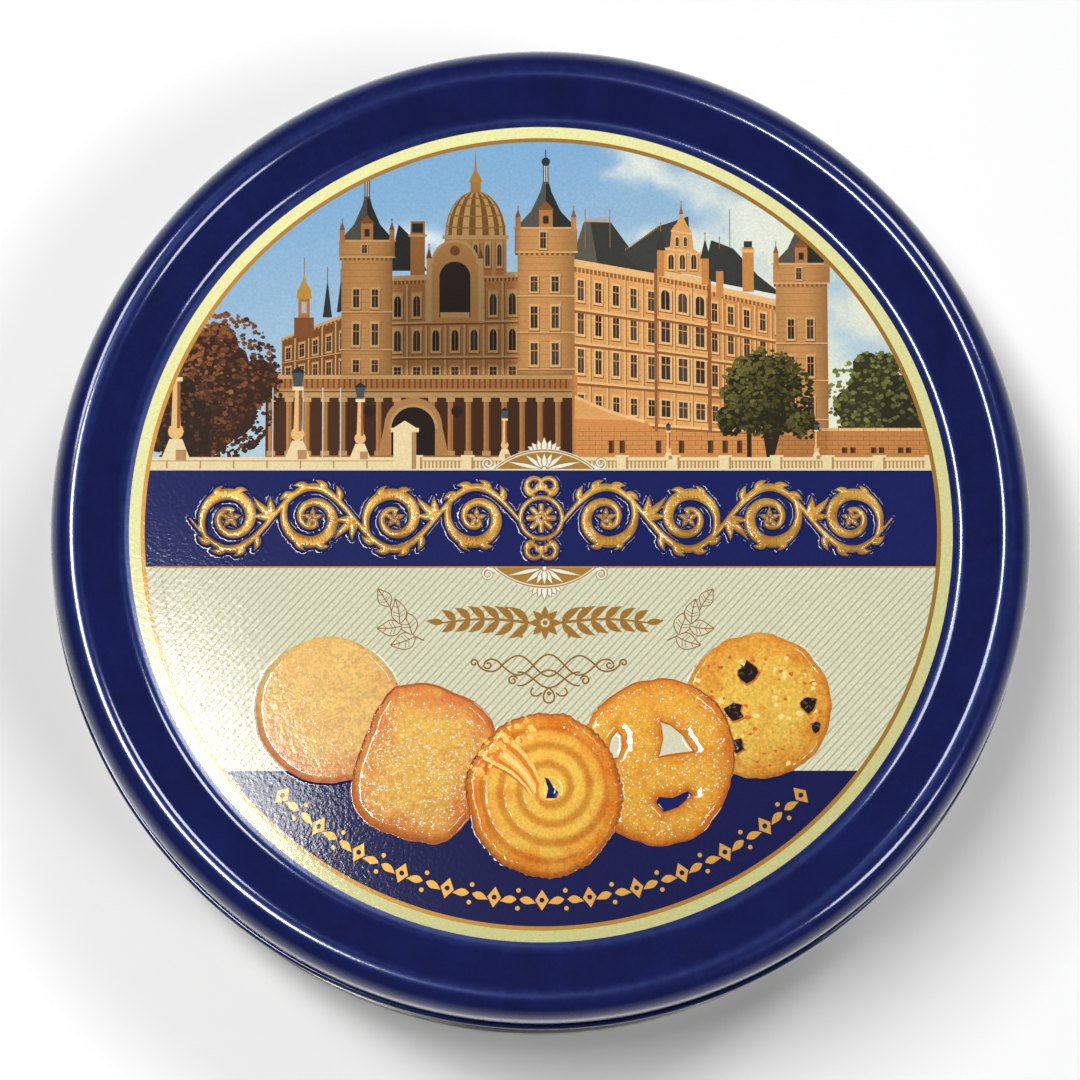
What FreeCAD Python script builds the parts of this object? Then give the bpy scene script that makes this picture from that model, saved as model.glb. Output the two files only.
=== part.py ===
import FreeCAD, Part
import math
import os
import Sketcher

# Round slip-lid cookie tin of printed tinplate, standing on its base seam.
# Origin: centre of the foot plane. +Z is up, through the middle of the lid. Millimetres.
#
# Three sheet-metal pieces:
#   lid   drawn in one piece: a flat panel sunk below a raised rim, a skirt, and a rolled edge
#   wall  one rolled strip with a lap seam, a mouth curled inwards and a hook folded at the foot
#   base  stamped disc, recessed above the foot plane, folded round the wall's hook as a double seam

DRIVING_SIZES = {
    "metal": 0.25,            # thickness of the tinplate
    "tin_height": 62.0,       # foot plane to the crest of the lid's rim
    "skirt_radius": 94.0,     # outside of the lid's skirt
    "skirt_depth": 17.0,      # crest of the rim to the middle of the rolled edge
    "lid_curl": 1.25,         # diameter of the rolled edge round the skirt
    "slope_foot": 80.9,       # radius where the sunk panel would meet the slope with no bend
    "slope_head": 88.2,       # radius where the slope would meet the crest with no bend
    "panel_sink": 4.2,        # depth of the panel below the crest
    "bend_radius": 4.4,       # bends at the foot and the head of the slope
    "shoulder_radius": 4.4,   # bend from the crest down into the skirt
    "wall_radius": 93.4,      # outside of the wall, which slides inside the skirt
    "mouth_height": 59.2,     # foot plane to the top of the wall's curled mouth
    "mouth_curl": 1.6,        # diameter of the curled mouth
    "lap_width": 3.0,         # width of the wall's lap seam
    "fold_gap": 0.04,         # clearance between the folded layers of the base seam
    "seam_height": 3.0,       # height of the base seam
    "seam_edge": 0.4,         # rounding of the base seam's outer edges
    "base_sink": 3.2,         # foot plane to the underside of the base panel
    "base_bend": 0.9,         # bend between the base panel and the seam's inner wall
    "step_radius": 72.0,      # outside of the stiffening step in the base panel
    "step_width": 2.0,
    "step_rise": 0.8,
}
CURL_TURN = 300.0             # degrees that each rolled edge is turned through


class Size:
    """A length with its value and the formula on the sheet's cells that gives it."""

    def __init__(self, value, formula):
        self.value = value
        self.formula = formula

    def __add__(self, other):
        return Size(self.value + other.value, f"{self.formula} + ({other.formula})")

    def __sub__(self, other):
        return Size(self.value - other.value, f"{self.formula} - ({other.formula})")

    def __rmul__(self, factor):
        return Size(factor * self.value, f"{factor} * ({self.formula})")


def make_sheet(doc):
    """Put the driving sizes on a spreadsheet, and return them as Size objects by alias."""
    sheet = doc.addObject("Spreadsheet::Sheet", "Dimensions")
    sizes = {}
    for row, (alias, value) in enumerate(DRIVING_SIZES.items(), start=1):
        sheet.set(f"A{row}", alias)
        sheet.set(f"B{row}", str(value))
        sheet.setAlias(f"B{row}", alias)
        sizes[alias] = Size(value, f"Dimensions.{alias}")
    doc.recompute()
    return sizes


def section_sketch(body, name):
    """Sketch on the body's XZ plane: sketch X is the radius and sketch Y the height."""
    sketch = body.newObject("Sketcher::SketchObject", name)
    plane = next(item for item in body.Origin.OriginFeatures if item.Role == "XZ_Plane")
    sketch.AttachmentSupport = [(plane, "")]
    sketch.MapMode = "FlatFace"
    return sketch


def hold_point(sketch, geometry, point, radius, height):
    """Tie a point of the sketch to a radius and a height."""
    for kind, size in (("DistanceX", radius), ("DistanceY", height)):
        index = sketch.addConstraint(Sketcher.Constraint(kind, -1, 1, geometry, point, size.value))
        sketch.setExpression(f"Constraints[{index}]", size.formula)


def outline_sketch(body, name, corners):
    """Closed outline of straight lines through corners, each a pair (radius, height)."""
    sketch = section_sketch(body, name)
    points = [FreeCAD.Vector(radius.value, height.value, 0) for radius, height in corners]
    for here, there in zip(points, points[1:] + points[:1]):
        sketch.addGeometry(Part.LineSegment(here, there))
    for index, (radius, height) in enumerate(corners):
        hold_point(sketch, index, 1, radius, height)
        before = (index - 1) % len(corners)
        sketch.addConstraint(Sketcher.Constraint("Coincident", before, 2, index, 1))
    return sketch


def curl_sketch(body, name, radius, height, diameter, metal, first, last):
    """C-shaped section of a rolled edge about (radius, height), from angle first to last."""
    sketch = section_sketch(body, name)
    centre = FreeCAD.Vector(radius.value, height.value, 0)
    up = FreeCAD.Vector(0, 0, 1)
    outer = 0.5 * diameter
    for size in (outer, outer - metal):
        circle = Part.Circle(centre, up, size.value)
        index = sketch.addGeometry(Part.ArcOfCircle(circle, math.radians(first), math.radians(last)))
        held = sketch.addConstraint(Sketcher.Constraint("Radius", index, size.value))
        sketch.setExpression(f"Constraints[{held}]", size.formula)
        hold_point(sketch, index, 3, radius, height)
    for end in (1, 2):
        line = sketch.addGeometry(Part.LineSegment(sketch.getPoint(0, end), sketch.getPoint(1, end)))
        sketch.addConstraint(Sketcher.Constraint("Coincident", line, 1, 0, end))
        sketch.addConstraint(Sketcher.Constraint("Coincident", line, 2, 1, end))
    return sketch


def revolve(body, sketch, name):
    """Turn a section sketch all the way round the Z axis."""
    feature = body.newObject("PartDesign::Revolution", name)
    feature.Profile = sketch
    feature.ReferenceAxis = (sketch, ["V_Axis"])
    feature.Angle = 360
    body.Document.recompute()
    return feature


def circle_at(shape, radius, height):
    """Name of the circular edge with that radius at that height."""
    for index, edge in enumerate(shape.Edges, start=1):
        curve = edge.Curve
        if not isinstance(curve, Part.Circle):
            continue
        if abs(curve.Radius - radius.value) < 1e-4 and abs(curve.Center.z - height.value) < 1e-4:
            return f"Edge{index}"
    raise ValueError(f"no circle of radius {radius.value} at height {height.value}")


def round_edges(body, feature, name, places, size):
    """Fillet the circular edges at the given (radius, height) places."""
    fillet = body.newObject("PartDesign::Fillet", name)
    fillet.Base = (feature, [circle_at(feature.Shape, *place) for place in places])
    fillet.Radius = size.value
    fillet.setExpression("Radius", size.formula)
    body.Document.recompute()
    return fillet


def make_body(doc, name):
    body = doc.addObject("PartDesign::Body", name)
    body.Label = name
    return body


def make_lid(doc, dim):
    """Lid: the outer form is turned and rounded, hollowed from below, and given its rolled edge."""
    body = make_body(doc, "lid")
    zero = Size(0.0, "0")
    top = dim["tin_height"]
    panel = top - dim["panel_sink"]
    edge = top - dim["skirt_depth"]
    corners = [
        (zero, edge),
        (dim["skirt_radius"], edge),
        (dim["skirt_radius"], top),
        (dim["slope_head"], top),
        (dim["slope_foot"], panel),
        (zero, panel),
    ]
    form = revolve(body, outline_sketch(body, "LidOutline", corners), "LidForm")
    slope = round_edges(body, form, "SlopeBends", [corners[3], corners[4]], dim["bend_radius"])
    shoulder = round_edges(body, slope, "Shoulder", [corners[2]], dim["shoulder_radius"])

    hollow = body.newObject("PartDesign::Thickness", "Hollow")
    underside = next(
        f"Face{index}"
        for index, face in enumerate(shoulder.Shape.Faces, start=1)
        if isinstance(face.Surface, Part.Plane) and abs(face.CenterOfMass.z - edge.value) < 1e-4
    )
    hollow.Base = (shoulder, [underside])
    hollow.Value = dim["metal"].value
    hollow.setExpression("Value", dim["metal"].formula)
    hollow.Reversed = True
    doc.recompute()

    curl_centre = dim["skirt_radius"] - dim["metal"] + 0.5 * dim["lid_curl"]
    curl = curl_sketch(body, "EdgeCurlSection", curl_centre, edge, dim["lid_curl"], dim["metal"],
                       180, 180 + CURL_TURN)
    revolve(body, curl, "EdgeCurl")
    return body


def make_wall(doc, dim):
    """Wall: a plain ring whose foot is folded outwards and up, with the mouth curled inwards."""
    body = make_body(doc, "wall")
    metal = dim["metal"]
    gap = dim["fold_gap"]
    outside = dim["wall_radius"]
    curl_centre = dim["mouth_height"] - 0.5 * dim["mouth_curl"]
    hook_inside = outside + metal + 2 * gap
    hook_top = dim["seam_height"] - metal - gap
    corners = [
        (outside - metal, metal + gap),
        (hook_inside + metal, metal + gap),
        (hook_inside + metal, hook_top),
        (hook_inside, hook_top),
        (hook_inside, 2 * metal + gap),
        (outside, 2 * metal + gap),
        (outside, curl_centre),
        (outside - metal, curl_centre),
    ]
    revolve(body, outline_sketch(body, "WallOutline", corners), "WallRing")
    curl = curl_sketch(body, "MouthCurlSection", outside - 0.5 * dim["mouth_curl"], curl_centre,
                       dim["mouth_curl"], metal, 0, CURL_TURN)
    revolve(body, curl, "MouthCurl")

    # The lap seam is a second layer inside the wall at the back, between the base and the mouth.
    lap = body.newObject("PartDesign::AdditiveBox", "LapSeam")
    foot = dim["base_sink"] + dim["step_rise"] + 2 * metal
    lap_sizes = {
        "Length": dim["lap_width"],
        "Width": 1.5 * metal,
        "Height": dim["mouth_height"] - 2 * dim["mouth_curl"] - foot,
        "Placement.Base.x": -0.5 * dim["lap_width"],
        "Placement.Base.y": outside - 2 * metal,
        "Placement.Base.z": foot,
    }
    for path, size in lap_sizes.items():
        lap.setExpression(path, size.formula)
    doc.recompute()
    return body


def make_base(doc, dim):
    """Base: a recessed panel with a stiffening step, its rim folded five layers deep at the foot."""
    body = make_body(doc, "base")
    zero = Size(0.0, "0")
    metal = dim["metal"]
    gap = dim["fold_gap"]
    wall = dim["wall_radius"]
    seam_top = dim["seam_height"]
    inner = wall - 2 * metal - gap              # inside of the seam, which the wall stands round
    hook = wall + gap                           # end of the fold, between the wall and its hook
    outer = wall + 3 * metal + 3 * gap          # outside of the seam
    under = dim["base_sink"]
    step_outside = dim["step_radius"]
    step_inside = step_outside - dim["step_width"]
    corners = [
        (zero, under + dim["step_rise"]),
        (step_inside, under + dim["step_rise"]),
        (step_outside, under),
        (inner, under),
        (inner, zero),
        (outer, zero),
        (outer, seam_top),
        (hook, seam_top),
        (hook, 2 * metal + 2 * gap),
        (hook + metal, 2 * metal + 2 * gap),
        (hook + metal, seam_top - metal),
        (outer - metal, seam_top - metal),
        (outer - metal, metal),
        (inner + metal, metal),
        (inner + metal, under + metal),
        (step_outside, under + metal),
        (step_inside, under + dim["step_rise"] + metal),
        (zero, under + dim["step_rise"] + metal),
    ]
    form = revolve(body, outline_sketch(body, "BaseOutline", corners), "BaseForm")
    seam = round_edges(body, form, "SeamEdges", [corners[5], corners[6]], dim["seam_edge"])
    foot = round_edges(body, seam, "FootInnerEdge", [corners[4]], dim["metal"])
    under_bend = round_edges(body, foot, "UnderBend", [corners[3]], dim["base_bend"])
    round_edges(body, under_bend, "UpperBend", [corners[14]], dim["base_bend"] + metal)
    return body


def write_parts(doc, bodies):
    """Stop on any failed object or bad shape, then write each piece to its own STEP file."""
    for item in doc.Objects:
        if "Invalid" in item.State or "Error" in item.State:
            raise RuntimeError(f"{item.Name} failed: {item.State}")
    for body in bodies:
        if body.Shape.isNull() or not body.Shape.isValid() or len(body.Shape.Solids) != 1:
            raise RuntimeError(f"{body.Label} is not one valid solid")
    os.makedirs("parts", exist_ok=True)
    for body in bodies:
        body.Shape.exportStep(f"parts/{body.Label}.step")
        box = body.Shape.BoundBox
        print(f"{body.Label}: {body.Shape.Volume:.0f} mm3, z {box.ZMin:.2f} to {box.ZMax:.2f}, "
              f"x {box.XMin:.2f} to {box.XMax:.2f}")


def main():
    doc = FreeCAD.newDocument("CookieTin")
    dim = make_sheet(doc)
    bodies = [make_lid(doc, dim), make_wall(doc, dim), make_base(doc, dim)]
    write_parts(doc, bodies)


main()
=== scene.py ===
import math
import random

import bpy
import numpy as np
from mathutils import Matrix, Vector, noise
from mathutils.geometry import delaunay_2d_cdt


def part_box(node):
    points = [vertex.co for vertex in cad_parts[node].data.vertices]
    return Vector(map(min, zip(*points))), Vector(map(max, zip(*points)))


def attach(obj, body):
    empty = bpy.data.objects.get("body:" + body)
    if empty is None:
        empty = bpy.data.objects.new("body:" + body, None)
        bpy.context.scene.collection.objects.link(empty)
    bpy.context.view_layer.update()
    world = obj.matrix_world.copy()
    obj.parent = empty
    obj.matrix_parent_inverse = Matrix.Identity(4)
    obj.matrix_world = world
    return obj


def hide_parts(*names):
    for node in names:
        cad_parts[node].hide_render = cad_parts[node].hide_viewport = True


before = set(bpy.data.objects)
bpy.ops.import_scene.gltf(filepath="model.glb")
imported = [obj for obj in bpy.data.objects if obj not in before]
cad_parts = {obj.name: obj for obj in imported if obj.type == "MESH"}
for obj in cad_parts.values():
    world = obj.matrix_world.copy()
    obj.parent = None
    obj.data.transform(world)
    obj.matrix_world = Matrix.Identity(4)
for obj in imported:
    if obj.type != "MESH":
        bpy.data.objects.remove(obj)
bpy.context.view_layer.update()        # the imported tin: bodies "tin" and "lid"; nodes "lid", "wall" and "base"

MM = 0.001
TAU = 2 * math.pi

# ---------------------------------------------------------------- sizes of the tin, in millimetres
LID_LOW, LID_HIGH = (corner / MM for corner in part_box("lid"))
WALL_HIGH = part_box("wall")[1] / MM

METAL = 0.25
LID_CURL = 1.25
TOP = LID_HIGH.z
SKIRT_RADIUS = 94.0
CURL_HEIGHT = LID_LOW.z + 0.5 * LID_CURL
PANEL_SINK = 4.2
PANEL = TOP - PANEL_SINK
SLOPE_FOOT, SLOPE_HEAD = 80.9, 88.2
BEND_RADIUS = 4.4
SHOULDER_RADIUS = 4.4
WALL_RADIUS = 93.4
MOUTH_CURL = 1.6
MOUTH = WALL_HIGH.z
CURL_TURN = 300
FOLD_GAP = 0.04
LAP_WIDTH = 3.0
SEAM_HEIGHT = 3.0
SEAM_EDGE = 0.4
BASE_SINK = 3.2
BASE_BEND = 0.9
STEP_RADIUS, STEP_WIDTH, STEP_RISE = 72.0, 2.0, 0.8

# the printed panel
PICTURE_RADIUS = 76.0       # picture inside its dark gold line
LINE_RADIUS = 76.8          # outside of the dark gold line
RING_RADIUS = 79.0          # outside of the pale gold ring
BAND_TOP, BAND_FOOT = 11.5, -7.1
SEGMENT_TOP = -46.4         # top of the navy segment at the front
CHAIN_RADIUS = 71.0         # middle of the chain along the foot
INK_LIFT = 0.03             # the printed skin stands this far above the metal

SEGMENTS = 360              # around everything that is turned
TINY = 1e-6


# ---------------------------------------------------------------- outlines, in millimetres
def polar(radius, degrees, cx=0.0, cy=0.0):
    """Place at a distance and bearing from (cx, cy)."""
    angle = math.radians(degrees)
    return cx + radius * math.cos(angle), cy + radius * math.sin(angle)


def arc(cx, cy, radius, first, last, count):
    """Points on an arc, both ends included, angles in degrees."""
    return [polar(radius, first + (last - first) * k / count, cx, cy) for k in range(count + 1)]


def srgb(red, green, blue):
    """Linear colour from 8-bit display values."""
    def linear(value):
        value /= 255
        return value / 12.92 if value <= 0.04045 else ((value + 0.055) / 1.055) ** 2.4
    return (linear(red), linear(green), linear(blue))


# ---------------------------------------------------------------- meshes
def new_object(name, mesh):
    piece = bpy.data.objects.new(name, mesh)
    bpy.context.scene.collection.objects.link(piece)
    return piece


def smooth(mesh, angle):
    """Shade smooth, except across edges sharper than angle in degrees."""
    mesh.polygons.foreach_set("use_smooth", [True] * len(mesh.polygons))
    mesh.set_sharp_from_angle(angle=math.radians(angle))


def lathe(name, section, materials, lift=None):
    """Closed solid turned from section, a loop of (radius, height, material index of the next stretch).

    lift gives how far each of an array of points is raised."""
    points, faces, indices, rings = [], [], [], []
    turn = np.arange(SEGMENTS) * TAU / SEGMENTS
    for radius, height, _ in section:
        start = len(points)
        if radius < TINY:
            rings.append([start] * SEGMENTS)
            points.append((0, 0, height))
        else:
            rings.append(list(range(start, start + SEGMENTS)))
            points.extend(zip(radius * np.cos(turn), radius * np.sin(turn), np.full(SEGMENTS, height)))
    points = np.array(points, float)
    if lift is not None:
        points[:, 2] += lift(points)
    for here, (radius, _, material) in enumerate(section):
        there = (here + 1) % len(section)
        if radius < TINY and section[there][0] < TINY:
            continue
        for k in range(SEGMENTS):
            after = (k + 1) % SEGMENTS
            corners = [rings[here][k], rings[there][k], rings[there][after], rings[here][after]]
            faces.append(list(dict.fromkeys(corners)))
            indices.append(material)
    mesh = bpy.data.meshes.new(name)
    mesh.from_pydata((points * MM).tolist(), [], faces)
    for material in materials:
        mesh.materials.append(material)
    mesh.polygons.foreach_set("material_index", indices)
    mesh.validate()
    smooth(mesh, 40)
    return new_object(name, mesh)


def stretch(points, material):
    """Section points that all start a stretch of one material."""
    return [(radius, height, material) for radius, height in points]


# ---------------------------------------------------------------- materials
def set_sockets(node, **values):
    """Set a node's inputs by name, with _ for each space in the name."""
    for name, value in values.items():
        node.inputs[name.replace("_", " ")].default_value = value
    return node


def new_node(tree, kind, **values):
    return set_sockets(tree.nodes.new("ShaderNode" + kind), **values)


def principled(name, color, roughness, metallic=0.0, coat=0.0, coat_roughness=0.05, specular=0.5):
    material = bpy.data.materials.new(name)
    material.use_nodes = True
    tree = material.node_tree
    shader = set_sockets(tree.nodes["Principled BSDF"], Base_Color=(*color, 1), Roughness=roughness,
                         Metallic=metallic, Coat_Weight=coat, Coat_Roughness=coat_roughness,
                         Specular_IOR_Level=specular)
    return material, tree, shader


def place_coordinates(tree):
    """Object coordinates: the same metres as the tin, so grain keeps its real size."""
    return tree.nodes.new("ShaderNodeTexCoord").outputs["Object"]


def grain(tree, scale_mm, detail=2.0, roughness=0.5):
    """Fractal noise whose cells are about scale_mm across."""
    texture = new_node(tree, "TexNoise", Scale=1 / (scale_mm * MM), Detail=detail, Roughness=roughness)
    tree.links.new(place_coordinates(tree), texture.inputs["Vector"])
    return texture.outputs["Fac"]


def bump(tree, height, depth_mm):
    node = new_node(tree, "Bump", Distance=depth_mm * MM, Strength=1.0)
    tree.links.new(height, node.inputs["Height"])
    return node.outputs["Normal"]


def ramp(tree, value, low, high, first, last):
    """first where value is low, last where it is high, and in between in proportion."""
    span = new_node(tree, "MapRange", From_Min=low, From_Max=high, To_Min=first, To_Max=last)
    tree.links.new(value, span.inputs["Value"])
    return span.outputs["Result"]


def vary(tree, color, factor, low, high):
    """color times a grey that runs from low to high with factor."""
    mix = tree.nodes.new("ShaderNodeVectorMath")
    mix.operation = "SCALE"
    if isinstance(color, tuple):
        mix.inputs[0].default_value = color
    else:
        tree.links.new(color, mix.inputs[0])
    tree.links.new(ramp(tree, factor, 0.3, 0.7, low, high), mix.inputs["Scale"])
    return mix.outputs["Vector"]


def orange_peel(tree, shader, depth_mm):
    """Fine unevenness of a roller-coated, baked lacquer; the ink below follows it half as deep."""
    fine = grain(tree, 0.7, 1.5)
    tree.links.new(bump(tree, fine, depth_mm), shader.inputs["Coat Normal"])
    tree.links.new(bump(tree, fine, 0.5 * depth_mm), shader.inputs["Normal"])


NAVY = srgb(17, 23, 75)
UNDER_COAT = 0.02           # specular level of ink whose gloss all comes from the clear coat over it


def navy_lacquer(name):
    """Glossy navy over tinplate, with slight clouding and dust-fine wear in the gloss."""
    material, tree, shader = principled(name, NAVY, 0.3, 0.0, 1.0, 0.09)
    shader.inputs["Specular Tint"].default_value = (0.12, 0.2, 0.6, 1)
    tree.links.new(vary(tree, NAVY, grain(tree, 9.0, 3.0, 0.6), 0.82, 1.22), shader.inputs["Base Color"])
    tree.links.new(ramp(tree, grain(tree, 2.2, 5.0, 0.7), 0.45, 0.75, 0.24, 0.4), shader.inputs["Roughness"])
    orange_peel(tree, shader, 0.005)
    return material


def gold_lacquer(name):
    """Inside of the tin: thin golden lacquer over bright tinplate."""
    color = srgb(208, 178, 112)
    material, tree, shader = principled(name, color, 0.3, 1.0, 0.3, 0.1)
    tree.links.new(vary(tree, color, grain(tree, 14.0, 3.0), 0.9, 1.08), shader.inputs["Base Color"])
    tree.links.new(bump(tree, grain(tree, 1.6, 3.0), 0.006), shader.inputs["Normal"])
    return material


def tinplate(name):
    """Bright tinplate with fine rolling lines and faint crystalline clouding."""
    color = srgb(200, 198, 192)
    material, tree, shader = principled(name, color, 0.27, 1.0, 0.15, 0.1)
    along = new_node(tree, "Mapping", Scale=(1, 60, 1))
    rolled = new_node(tree, "TexNoise", Scale=60, Detail=4)
    tree.links.new(place_coordinates(tree), along.inputs["Vector"])
    tree.links.new(along.outputs["Vector"], rolled.inputs["Vector"])
    tree.links.new(vary(tree, color, rolled.outputs["Fac"], 0.88, 1.1), shader.inputs["Base Color"])
    tree.links.new(bump(tree, rolled.outputs["Fac"], 0.008), shader.inputs["Normal"])
    return material


# ---------------------------------------------------------------- artwork: flat shapes that become one skin
def pick(*color):
    return np.array(srgb(*color))


def blend(first, second, share):
    share = np.clip(share, 0, 1)[:, None]
    return np.asarray(first) * (1 - share) + np.asarray(second) * share


def smoothstep(value):
    value = np.clip(value, 0, 1)
    return value * value * (3 - 2 * value)


def clouding(x, y, scale, seed=0.0, octaves=3):
    """Fractal noise, roughly -1 to 1, at arrays of places in millimetres."""
    return np.array([noise.fractal(Vector((a / scale, b / scale, seed)), 0.8, 2.0, octaves)
                     for a, b in zip(x, y)])


def normals(path):
    along = np.gradient(path, axis=0)
    along /= np.maximum(np.linalg.norm(along, axis=1), 1e-9)[:, None]
    return np.column_stack([-along[:, 1], along[:, 0]])


def ribbon(path, widths):
    """Quads that follow a path; widths are full widths."""
    path = np.asarray(path, float)
    side = normals(path) * (np.broadcast_to(widths, len(path)) / 2)[:, None]
    left, right = path + side, path - side
    return [[right[k], right[k + 1], left[k + 1], left[k]] for k in range(len(path) - 1)]


def spiral(cx, cy, first, last, start, turns, power=1.0):
    """Path whose radius goes from first to last over so many turns from the bearing start."""
    t = np.linspace(0, 1, max(10, int(abs(turns) * 46)))
    angle = np.radians(start) + turns * TAU * t
    radius = first + (last - first) * t ** power
    return np.column_stack([cx + radius * np.cos(angle), cy + radius * np.sin(angle)])


def bezier(a, b, c, d, steps=14):
    t = np.linspace(0, 1, steps)[:, None]
    a, b, c, d = (np.array(p, float) for p in (a, b, c, d))
    return a * (1 - t) ** 3 + 3 * b * t * (1 - t) ** 2 + 3 * c * t * t * (1 - t) + d * t ** 3


def taper(path, *widths):
    """Widths that follow each other evenly along a path."""
    return np.interp(np.linspace(0, 1, len(path)), np.linspace(0, 1, len(widths)), widths)


def leaf(x, y, angle, length, bend=0.0, steps=9):
    """Midrib of a leaf that grows from (x, y) and curves by bend degrees."""
    tip = polar(length, angle + bend / 2, x, y)
    first, last = polar(0.35 * length, angle, x, y), polar(-0.35 * length, angle + bend, *tip)
    return bezier((x, y), first, last, tip, steps)


def leafy(rib, wide):
    """Widths of a leaf along its midrib."""
    return wide * taper(rib, 0.12, 0.62, 0.95, 1.0, 0.88, 0.62, 0.3, 0.03)


def sprout(x, y, angle, length, wide, bend=0.0):
    """Midrib and widths of a leaf."""
    rib = leaf(x, y, angle, length, bend)
    return rib, leafy(rib, wide)


def ragged(rng, x, y, size, sides, wide, tall, turn=0.0, squash=1.0):
    """Uneven polygon; wide and tall are the ranges that its corners' reach is drawn from."""
    return [(x + size * rng.uniform(*wide) * math.cos(turn + k * TAU / sides),
             y + squash * size * rng.uniform(*tall) * math.sin(turn + k * TAU / sides)) for k in range(sides)]


PICTURE_INK, GOLD_INK, BISCUIT_INK = 0, 1, 2        # material slots of the printed skins


def lit(color, light):
    """Ink under a light that varies from place to place."""
    return lambda x, y: (color(x, y) if callable(color) else np.asarray(color)) * light(x, y)[:, None]


class Artwork:
    """Shapes painted over one another, cut into one mesh without overlaps.

    loose points only make the mesh finer. sag lowers what is filled, most at the foot of the picture, and
    light, when it is set, shades it."""

    def __init__(self, outline, color, ink=PICTURE_INK):
        self.shapes, self.loose, self.sag, self.light = [], [], 0.0, None
        self.fill(outline, color, ink)

    def fill(self, points, color, ink=PICTURE_INK):
        points = [(float(x), float(y) - self.sag * (1 - float(y) / PICTURE_RADIUS)) for x, y in points]
        turn = sum(a[0] * b[1] - b[0] * a[1] for a, b in zip(points, points[1:] + points[:1]))
        if self.light:
            color = lit(color, self.light)
        if abs(turn) > 1e-4:
            self.shapes.append((points if turn > 0 else points[::-1], color, ink))

    def box(self, x0, y0, x1, y1, color, ink=PICTURE_INK):
        self.fill([(x0, y0), (x1, y0), (x1, y1), (x0, y1)], color, ink)

    def line(self, path, widths, color, ink=PICTURE_INK):
        for quad in ribbon(path, widths):
            self.fill(quad, color, ink)

    def dot(self, x, y, radius, color, ink=PICTURE_INK, sides=10, squash=1.0):
        self.fill([(x + radius * math.cos(k * TAU / sides), y + squash * radius * math.sin(k * TAU / sides))
                   for k in range(sides)], color, ink)

    def cut(self):
        """Places, triangles and the shape on top of each triangle."""
        points, faces = [], []
        for shape, _, _ in self.shapes:
            faces.append(list(range(len(points), len(points) + len(shape))))
            points.extend(shape)
        points.extend(self.loose)
        result = delaunay_2d_cdt([Vector(p) for p in points], [], faces, 1, 1e-4, True)
        kept = [(face, max(origin)) for face, origin in zip(result[2], result[5])
                if 0 in origin and self.shapes[max(origin)][1] is not None]
        return (np.array([tuple(v) for v in result[0]]), np.array([face for face, _ in kept]),
                np.array([top for _, top in kept]))

    def skin(self, name, materials, height=None):
        """The artwork as a sheet just above the panel, raised by height(x, y)."""
        flat, corners, owner = self.cut()
        used = np.unique(corners)
        x, y = flat[used].T
        z = np.full(len(x), PANEL + INK_LIFT)
        renumber = np.zeros(len(flat), int)
        renumber[used] = np.arange(len(used))
        if height:
            z += height(x, y)
        mesh = bpy.data.meshes.new(name)
        mesh.from_pydata((np.column_stack([x, y, z]) * MM).tolist(), [], renumber[corners].tolist())
        paint = np.ones((len(corners), 3, 4))
        order = np.argsort(owner, kind="stable")
        for group in np.split(order, np.flatnonzero(np.diff(owner[order])) + 1):
            color = self.shapes[owner[group[0]]][1]
            if callable(color):
                spots = flat[corners[group].ravel()]
                color = color(spots[:, 0], spots[:, 1]).reshape(-1, 3, 3)
            paint[group, :, :3] = color
        mesh.color_attributes.new("ink", "FLOAT_COLOR", "CORNER").data.foreach_set("color", paint.ravel())
        for material in materials:
            mesh.materials.append(material)
        inks = np.array([ink for _, _, ink in self.shapes])
        mesh.polygons.foreach_set("material_index", inks[owner])
        mesh.polygons.foreach_set("use_smooth", [True] * len(mesh.polygons))
        tilt = np.tile([0.0, 0.0, 1.0], (len(x), 1))
        if height:
            reach = 0.12
            tilt = np.column_stack([height(x - reach, y) - height(x + reach, y),
                                    height(x, y - reach) - height(x, y + reach), np.full(len(x), 2 * reach)])
            tilt /= np.linalg.norm(tilt, axis=1)[:, None]
        mesh.normals_split_custom_set_from_vertices(tilt.tolist())
        piece = new_object(name, mesh)
        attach(piece, "lid")
        return piece


def ink_material(name, roughness, metallic, mottle_mm, mottle):
    """Printed ink under clear lacquer; its colours are painted on the skin."""
    material, tree, shader = principled(name, (0.5, 0.5, 0.5), roughness, metallic, 1.0, 0.06, UNDER_COAT)
    paint = tree.nodes.new("ShaderNodeVertexColor")
    paint.layer_name = "ink"
    mottled = vary(tree, paint.outputs["Color"], grain(tree, mottle_mm, 4.0, 0.6), 1 - mottle, 1 + mottle)
    tree.links.new(mottled, shader.inputs["Base Color"])
    orange_peel(tree, shader, 0.012)
    return material


# ---------------------------------------------------------------- inks
GOLD = pick(186, 138, 58)
DARK_GOLD = pick(150, 108, 44)
CREAM = pick(212, 210, 182)
WHITE = pick(232, 232, 214)
BROWN = pick(140, 98, 42)
BAND_NAVY = pick(22, 29, 88)
SEGMENT_NAVY = pick(21, 24, 74)


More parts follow.
